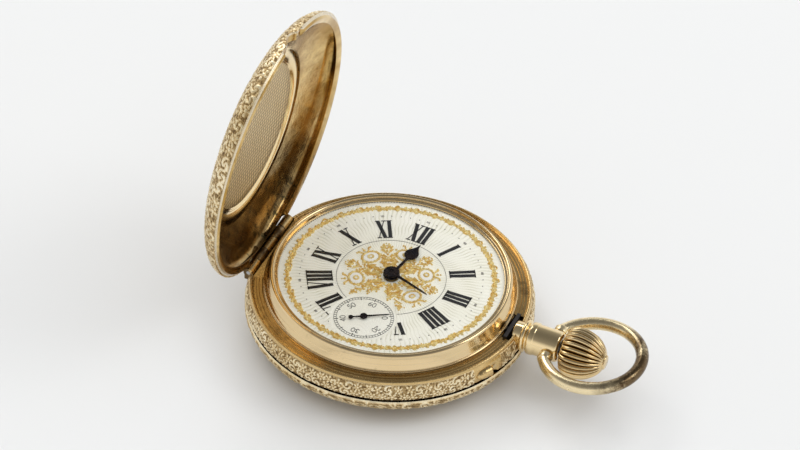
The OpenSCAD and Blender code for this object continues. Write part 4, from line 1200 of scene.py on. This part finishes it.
def make_minute_marks():
    """Minute dots, with a small mark at each five minutes, and the fine outer line."""
    parts = Parts()
    z = DIAL_Z
    for i in range(60):
        spot = turned([(0, 15.72)], i * 6)[0]
        if from_seconds(spot) < SECONDS_R:
            continue
        if i % 5:
            parts.add(*slab(circle(0.1, 10, spot), z - 0.03, z + 0.045))
        else:
            for dx in (-0.22, 0.0, 0.22):
                mark = turned(rect(dx - 0.05, 15.5, dx + 0.05, 15.92), i * 6)
                parts.add(*slab(mark, z - 0.03, z + 0.045))
    for i in range(EDGE_DOTS):
        spot = turned([(0, 19.45)], i * 360 / EDGE_DOTS)[0]
        parts.add(*slab(circle(0.07, 6, spot), z - 0.03, z + 0.03))
    v, f = lathe(rect(CENTRE_LINE_R - 0.03, z - 0.06, CENTRE_LINE_R + 0.03, z), 360)
    parts.add(v, [face for face in f if from_seconds(v[list(face)].mean(0)) > SECONDS_R])
    parts.make("minute_marks", ["grey_ink"], "case", "dial", sharp=20)


def leaf(parts, base, heading, length, width, z, curl):
    """Raised leaf with a crease down its middle; heading in radians, curl bends it to one side."""
    n = 7
    height = 0.24
    t = np.linspace(0, 1, n)
    bend = heading + curl * t
    step = length / (n - 1)
    spine = np.array(base) + np.concatenate([[[0, 0]], np.cumsum(
        np.stack([np.cos(bend[:-1]), np.sin(bend[:-1])], -1) * step, axis=0)])
    half = width / 2 * np.sin(np.pi * (t * 0.94 + 0.03)) ** 0.8
    side = np.stack([-np.sin(bend), np.cos(bend)], -1)
    left, right = spine + side * half[:, None], spine - side * half[:, None]
    rows = []
    for i in range(n):
        lift = height * math.sin(math.pi * (0.15 + 0.75 * t[i]))
        rows += [(*left[i], z - 0.03), (*(0.5 * (left[i] + spine[i])), z + lift),
                 (*spine[i], z + lift * 0.55), (*(0.5 * (right[i] + spine[i])), z + lift),
                 (*right[i], z - 0.03)]
    faces = []
    for i in range(n - 1):
        for j in range(4):
            a = i * 5 + j
            faces.append((a, a + 1, a + 6, a + 5))
        faces.append((i * 5, i * 5 + 5, i * 5 + 9, i * 5 + 4))
    faces.append(tuple(range(4, -1, -1)))
    faces.append(tuple(range((n - 1) * 5, n * 5)))
    parts.add(rows, faces)


def bead(parts, spot, r, z, flat):
    parts.add(*ball((spot[0], spot[1], z - 0.02), r, flat, 4, 10))


WREATH_R, WREATH_MOTIFS = 17.8, 132


def make_wreath():
    """Gold relief ring round the dial: small scrolls, rosettes and beads, no two quite alike."""
    parts = Parts()
    z = DIAL_Z
    for i in range(WREATH_MOTIFS):
        a = (i + rng.uniform(-0.2, 0.2)) * TAU / WREATH_MOTIFS
        r = WREATH_R + 0.1 * math.sin(i * 1.7) + rng.uniform(-0.08, 0.08)
        out = np.array([math.cos(a), math.sin(a)])
        spot = r * out
        along = a + math.pi / 2
        size = rng.uniform(0.9, 1.15)
        side = 1 if i % 2 else -1
        if i % 4 == 0:
            for way in (side, -side):
                leaf(parts, spot - 0.3 * way * out, along + 0.8 * way, 0.85 * size, 0.34, z, -1.7 * way)
            bead(parts, spot, 0.28 * size, z, 0.9)
        elif i % 4 == 2:
            bead(parts, spot, 0.27 * size, z, 0.9)
            for b in a + np.arange(6) * TAU / 6:
                bead(parts, spot + 0.42 * np.array([math.cos(b), math.sin(b)]), 0.18, z, 0.9)
        else:
            leaf(parts, spot, along + 0.8 * side, 0.85 * size, 0.44, z, -1.6 * side)
            bead(parts, spot + 0.32 * side * out, 0.26 * size, z, 0.9)
            bead(parts, spot - 0.34 * side * out, 0.22 * size, z, 0.9)
    ring = [(r + WREATH_R, z + h) for r, h in ((-0.32, -0.03), (0.32, -0.03), (0.24, 0.06), (-0.24, 0.06))]
    parts.add(*lathe(softened(ring, 0.03, 3), 360))
    parts.make("dial_wreath", ["applied"], "case", "dial", sharp=45)


MEDALLION_R = 6.05
# Pairs of leaves, as (distance out, distance aside, lean, length, width)
MEDALLION_SPRIGS = ((2.1, 0.3, 0.7, 2.0, 0.8), (3.0, 0.4, 1.05, 1.9, 0.7), (3.9, 0.35, 1.35, 1.5, 0.6),
                    (7.5, 0.5, 0.9, 1.1, 0.5))
SPRAY_SPRIGS = ((2.0, 0.12, 0.35, 1.9, 0.66), (3.0, 0.12, 0.8, 1.5, 0.6), (3.9, 0.12, 0.5, 1.7, 0.62),
                (5.0, 0.12, 0.9, 1.4, 0.58), (5.9, 0.12, 0.45, 1.5, 0.54), (7.1, 0.12, 0.25, 1.3, 0.46),
                (7.4, 0.12, 1.25, 0.9, 0.4))


def make_centre_ornament():
    """Gold foliage between six white oval medallions with gold hearts."""
    gold, white = Parts(), Parts()
    z = DIAL_Z

    def free(p, gap):
        return from_seconds(p) > SECONDS_R + gap

    def directions(hour):
        heading = math.pi / 2 - math.radians(hour * 30)
        out = np.array([math.cos(heading), math.sin(heading)])
        return heading, out, np.array([-out[1], out[0]])

    def oval(centre, out, side, radial, across, count):
        t = np.arange(count) * TAU / count
        return centre + np.outer(np.cos(t) * radial, out) + np.outer(np.sin(t) * across, side)

    def sprigs(base_r, offset, lean, length, width, curl, heading, out, side):
        for sign in (-1, 1):
            base = out * base_r + side * sign * offset
            tip = base + length * (out * math.cos(lean) + side * sign * math.sin(lean))
            if free(tip, 0.2) and free(base, 0.2):
                leaf(gold, base, heading + sign * lean, length, width * 0.6, z, sign * curl)
                bead(gold, base + 0.55 * (tip - base) + out * 0.22, 0.15, z, 1.0)
                bead(gold, tip, 0.2, z, 1.0)

    for hour in range(2, 14, 2):
        heading, out, side = directions(hour)
        centre = out * MEDALLION_R
        if free(centre, -0.3):
            white.add(*slab(oval(centre, out, side, 1.1, 1.4, 32), z - 0.03, z + 0.12, 0.1))
            for k, spot in enumerate(oval(centre, out, side, 1.32, 1.62, 26)):
                if free(spot, 0.1):
                    bead(gold, spot, 0.2 + 0.07 * (k % 2), z, 1.0)
            for spot in oval(centre, out, side, 0.4, 0.46, 9):
                bead(gold, spot, 0.19, z + 0.14, 0.8)
            bead(white, centre, 0.2, z + 0.15, 0.9)
        for sprig in MEDALLION_SPRIGS:
            sprigs(*sprig, -0.8, heading, out, side)
        if free(out * 8.2, 0.2):
            bead(gold, out * 8.0, 0.26, z, 0.9)
            bead(gold, out * 8.5, 0.17, z, 0.9)
    for hour in range(1, 13, 2):
        heading, out, side = directions(hour)
        for sprig in SPRAY_SPRIGS:
            sprigs(*sprig, 0.8, heading, out, side)
        for r in (2.6, 3.3, 4.1, 4.9, 5.7, 6.5, 7.3, 8.0, 8.6):
            if free(out * r, 0.25):
                bead(gold, out * r, 0.34 - 0.022 * r, z, 1.0)
        for _ in range(12):
            spot = out * rng.uniform(2.9, 8.0) + side * rng.uniform(-1.7, 1.7)
            if free(spot, 0.25):
                bead(gold, spot, rng.uniform(0.12, 0.22), z, 1.0)
    for k in range(26):
        a, way = k * TAU / 26, (-1) ** k
        out = np.array([math.cos(a), math.sin(a)])
        leaf(gold, 1.75 * out, a + 0.6 * way, 1.2, 0.46, z, 0.9 * way)
        bead(gold, 2.95 * out, 0.19, z, 0.9)
    gold.make("centre_foliage", ["applied"], "case", "dial", sharp=45)
    white.make("centre_medallions", ["enamel"], "case", "dial", sharp=35)


# ---- Hands ----

# Clockwise from XII, in degrees: the watch shows eighteen minutes past twelve
HOUR_ANGLE, MINUTE_ANGLE, SECONDS_ANGLE = 9, 108, 58


def hand_outline(spine):
    """Outline of a hand from (distance, half width) points along its length."""
    right = [(w, r) for r, w in spine]
    left = [(-w, r) for r, w in spine[::-1] if w > 0.001]
    return np.array(right + left)


def domed_disc(r, z0, z1, crown_height, hole):
    """Hub of a hand, with a hole that may be closed."""
    profile = [(hole, z0), (r * 0.96, z0), (r, z0 + 0.05), (r, z1 - 0.1), (r * 0.93, z1)]
    for t in np.linspace(0.85, 0.3, 6):
        profile.append((max(r * t, hole), z1 + crown_height * (1 - t * t)))
    profile.append((hole, z1 + crown_height))
    return lathe(profile, 64)


def levels(node):
    """Bottom and top of a CAD node."""
    low, high = box_mm(node)
    return low[2], high[2]


def make_hour_hand():
    """Spade hand."""
    z0, z1 = levels("hour_hand")
    parts = Parts()
    spine = [(1.2, 0.3), (2.5, 0.24), (4.4, 0.22), (4.95, 0.3)]
    spine += [(6.3 - 1.25 * math.cos(t), 0.22 + 1.0 * math.sin(t)) for t in np.linspace(0.15, 2.2, 14)]
    spine += [(7.45, 0.72), (7.9, 0.42), (8.4, 0.2), (9.2, 0.0)]
    parts.add(*slab(turned(hand_outline(spine), HOUR_ANGLE), z0, z1, 0.05))
    parts.add(*domed_disc(1.45, z0, z1, 0.02, 0.8))
    parts.make("hour_hand_spade", ["blued"], "hour_wheel", "hour_hand", replaces=("hour_hand",), sharp=30)


def make_minute_hand():
    """Slender blade."""
    z0, z1 = levels("minute_hand")
    parts = Parts()
    spine = [(1.2, 0.24), (3.0, 0.2), (5.5, 0.17), (7.2, 0.12), (8.1, 0.03)]
    parts.add(*slab(turned(hand_outline(spine), MINUTE_ANGLE), z0 + 0.06, z1 - 0.05, 0.04))
    parts.add(*domed_disc(1.4, z0, z1 - 0.02, 0.02, 0.54))
    parts.make("minute_hand_blade", ["blued"], "cannon_pinion", "minute_hand",
               replaces=("minute_hand",), sharp=30)


def make_seconds_hand():
    """Fine blade with a round counterweight."""
    z0, z1 = levels("seconds_hand")
    parts = Parts()
    spine = [(-2.0, 0.07), (-0.5, 0.1), (0.6, 0.13), (2.5, 0.09), (4.4, 0.035)]
    blade = turned(hand_outline(spine), SECONDS_ANGLE, SECONDS_XY)
    parts.add(*slab(blade, z0 + 0.02, z1 - 0.04, 0.02))
    tail = turned([(0, -2.2)], SECONDS_ANGLE, SECONDS_XY)[0]
    parts.add(*slab(circle(0.42, 28, tail), z0 + 0.02, z1 - 0.04, 0.05))
    hub, faces = domed_disc(0.65, z0, z1, 0.0, 0.0)
    parts.add(hub + [*SECONDS_XY, 0], faces)
    parts.make("seconds_hand_blade", ["blued"], "fourth_wheel", "seconds_hand",
               replaces=("seconds_hand",), sharp=30, merge=True)


# ---- Build, stage and camera ----

make_front_cover()
make_rear_cover()
make_band()
make_band_top()
make_bezel()
make_crystal()
make_pendant()
make_crown()
make_bow()
make_dial()
make_numerals()
make_seconds_track()
make_minute_marks()
make_wreath()
make_centre_ornament()
make_hour_hand()
make_minute_hand()
make_seconds_hand()


def make_floor():
    """Sheet of white paper under the watch."""
    mesh = bpy.data.meshes.new("floor")
    reach = 1.5
    mesh.from_pydata([(x, y, 0) for x, y in rect(-reach, -reach, reach, reach)], [], [(0, 1, 2, 3)])
    s = Shader("floor_paper", roughness=0.9)
    s.color(s.ramp(s.noise(3, 2), [(0.3, (0.73, 0.735, 0.735)), (0.7, (0.745, 0.75, 0.75))]))
    mesh.materials.append(s.material)
    floor = in_scene("floor", mesh)
    floor.location.z = -0.00002


WARM_WHITE = (1.0, 0.995, 0.98)
# Brightness of the studio walls by the sine of the height above the horizon
SKY = ((0.0, 0.95), (0.3, 0.85), (0.6, 0.30), (1.0, 0.16))


def area_light(name, spot, aim, size, power, color):
    data = bpy.data.lights.new(name, "AREA")
    data.shape = "RECTANGLE"
    data.size, data.size_y = size
    data.energy = power
    data.color = color
    lamp = in_scene(name, data)
    lamp.location = spot
    lamp.rotation_euler = (Vector(aim) - Vector(spot)).to_track_quat("-Z", "Y").to_euler()
    return lamp


def make_lights():
    """Two soft boxes, an overhead tent that lights but isn't reflected, and the studio walls."""
    area_light("left", (-0.62, 0.5, 0.72), (0, 0, 0.01), (0.55, 0.4), 2.1, WARM_WHITE)
    area_light("right", (0.72, 0.3, 0.7), (0.01, 0, 0.01), (0.5, 0.4), 1.7, WARM_WHITE)
    tent = area_light("tent", (0, 0.05, 1.0), (0, 0, 0), (2.0, 2.0), 14.5, (0.995, 1.0, 1.0))
    tent.visible_glossy = False
    world = bpy.data.worlds.new("studio")
    world.use_nodes = True
    nodes, links = world.node_tree.nodes, world.node_tree.links
    direction = nodes.new("ShaderNodeTexCoord").outputs["Generated"]
    axes = nodes.new("ShaderNodeSeparateXYZ")
    links.new(direction, axes.inputs[0])
    ramp = nodes.new("ShaderNodeValToRGB")
    elements = ramp.color_ramp.elements
    while len(elements) < len(SKY):
        elements.new(0.5)
    for element, (height, level) in zip(elements, SKY):
        element.position = height
        element.color = (level, level, level * 1.01, 1)
    links.new(axes.outputs[2], ramp.inputs["Fac"])
    links.new(ramp.outputs["Color"], nodes["Background"].inputs["Color"])
    bpy.context.scene.world = world
    bpy.context.scene.view_settings.view_transform = "Standard"


# Where the photograph was taken from, with the picture's shift in metres at the watch
AZIMUTH, ELEVATION, ROLL = (math.radians(x) for x in (22.16, 41.34, 3.18))
AIM = Vector((0, 0, 0.0115))
DISTANCE, SHIFT_RIGHT, SHIFT_UP = 0.6142, 0.00149, 0.00886


def make_camera():
    """The photographer's camera."""
    flat = math.cos(ELEVATION)
    back = Vector((math.sin(AZIMUTH) * flat, -math.cos(AZIMUTH) * flat, math.sin(ELEVATION)))
    level = Vector((math.cos(AZIMUTH), math.sin(AZIMUTH), 0))
    upright = back.cross(level)
    right = math.cos(ROLL) * level + math.sin(ROLL) * upright
    up = back.cross(right)
    data = bpy.data.cameras.new("camera")
    data.lens = 161.5
    data.sensor_width = 36
    data.clip_start = 0.01
    camera = in_scene("camera", data)
    spot = AIM + back * DISTANCE + right * SHIFT_RIGHT + up * SHIFT_UP
    rotation = Matrix((right, up, back)).transposed()
    camera.matrix_world = Matrix.Translation(spot) @ rotation.to_4x4()
    bpy.context.scene.camera = camera


make_floor()
make_lights()
make_camera()
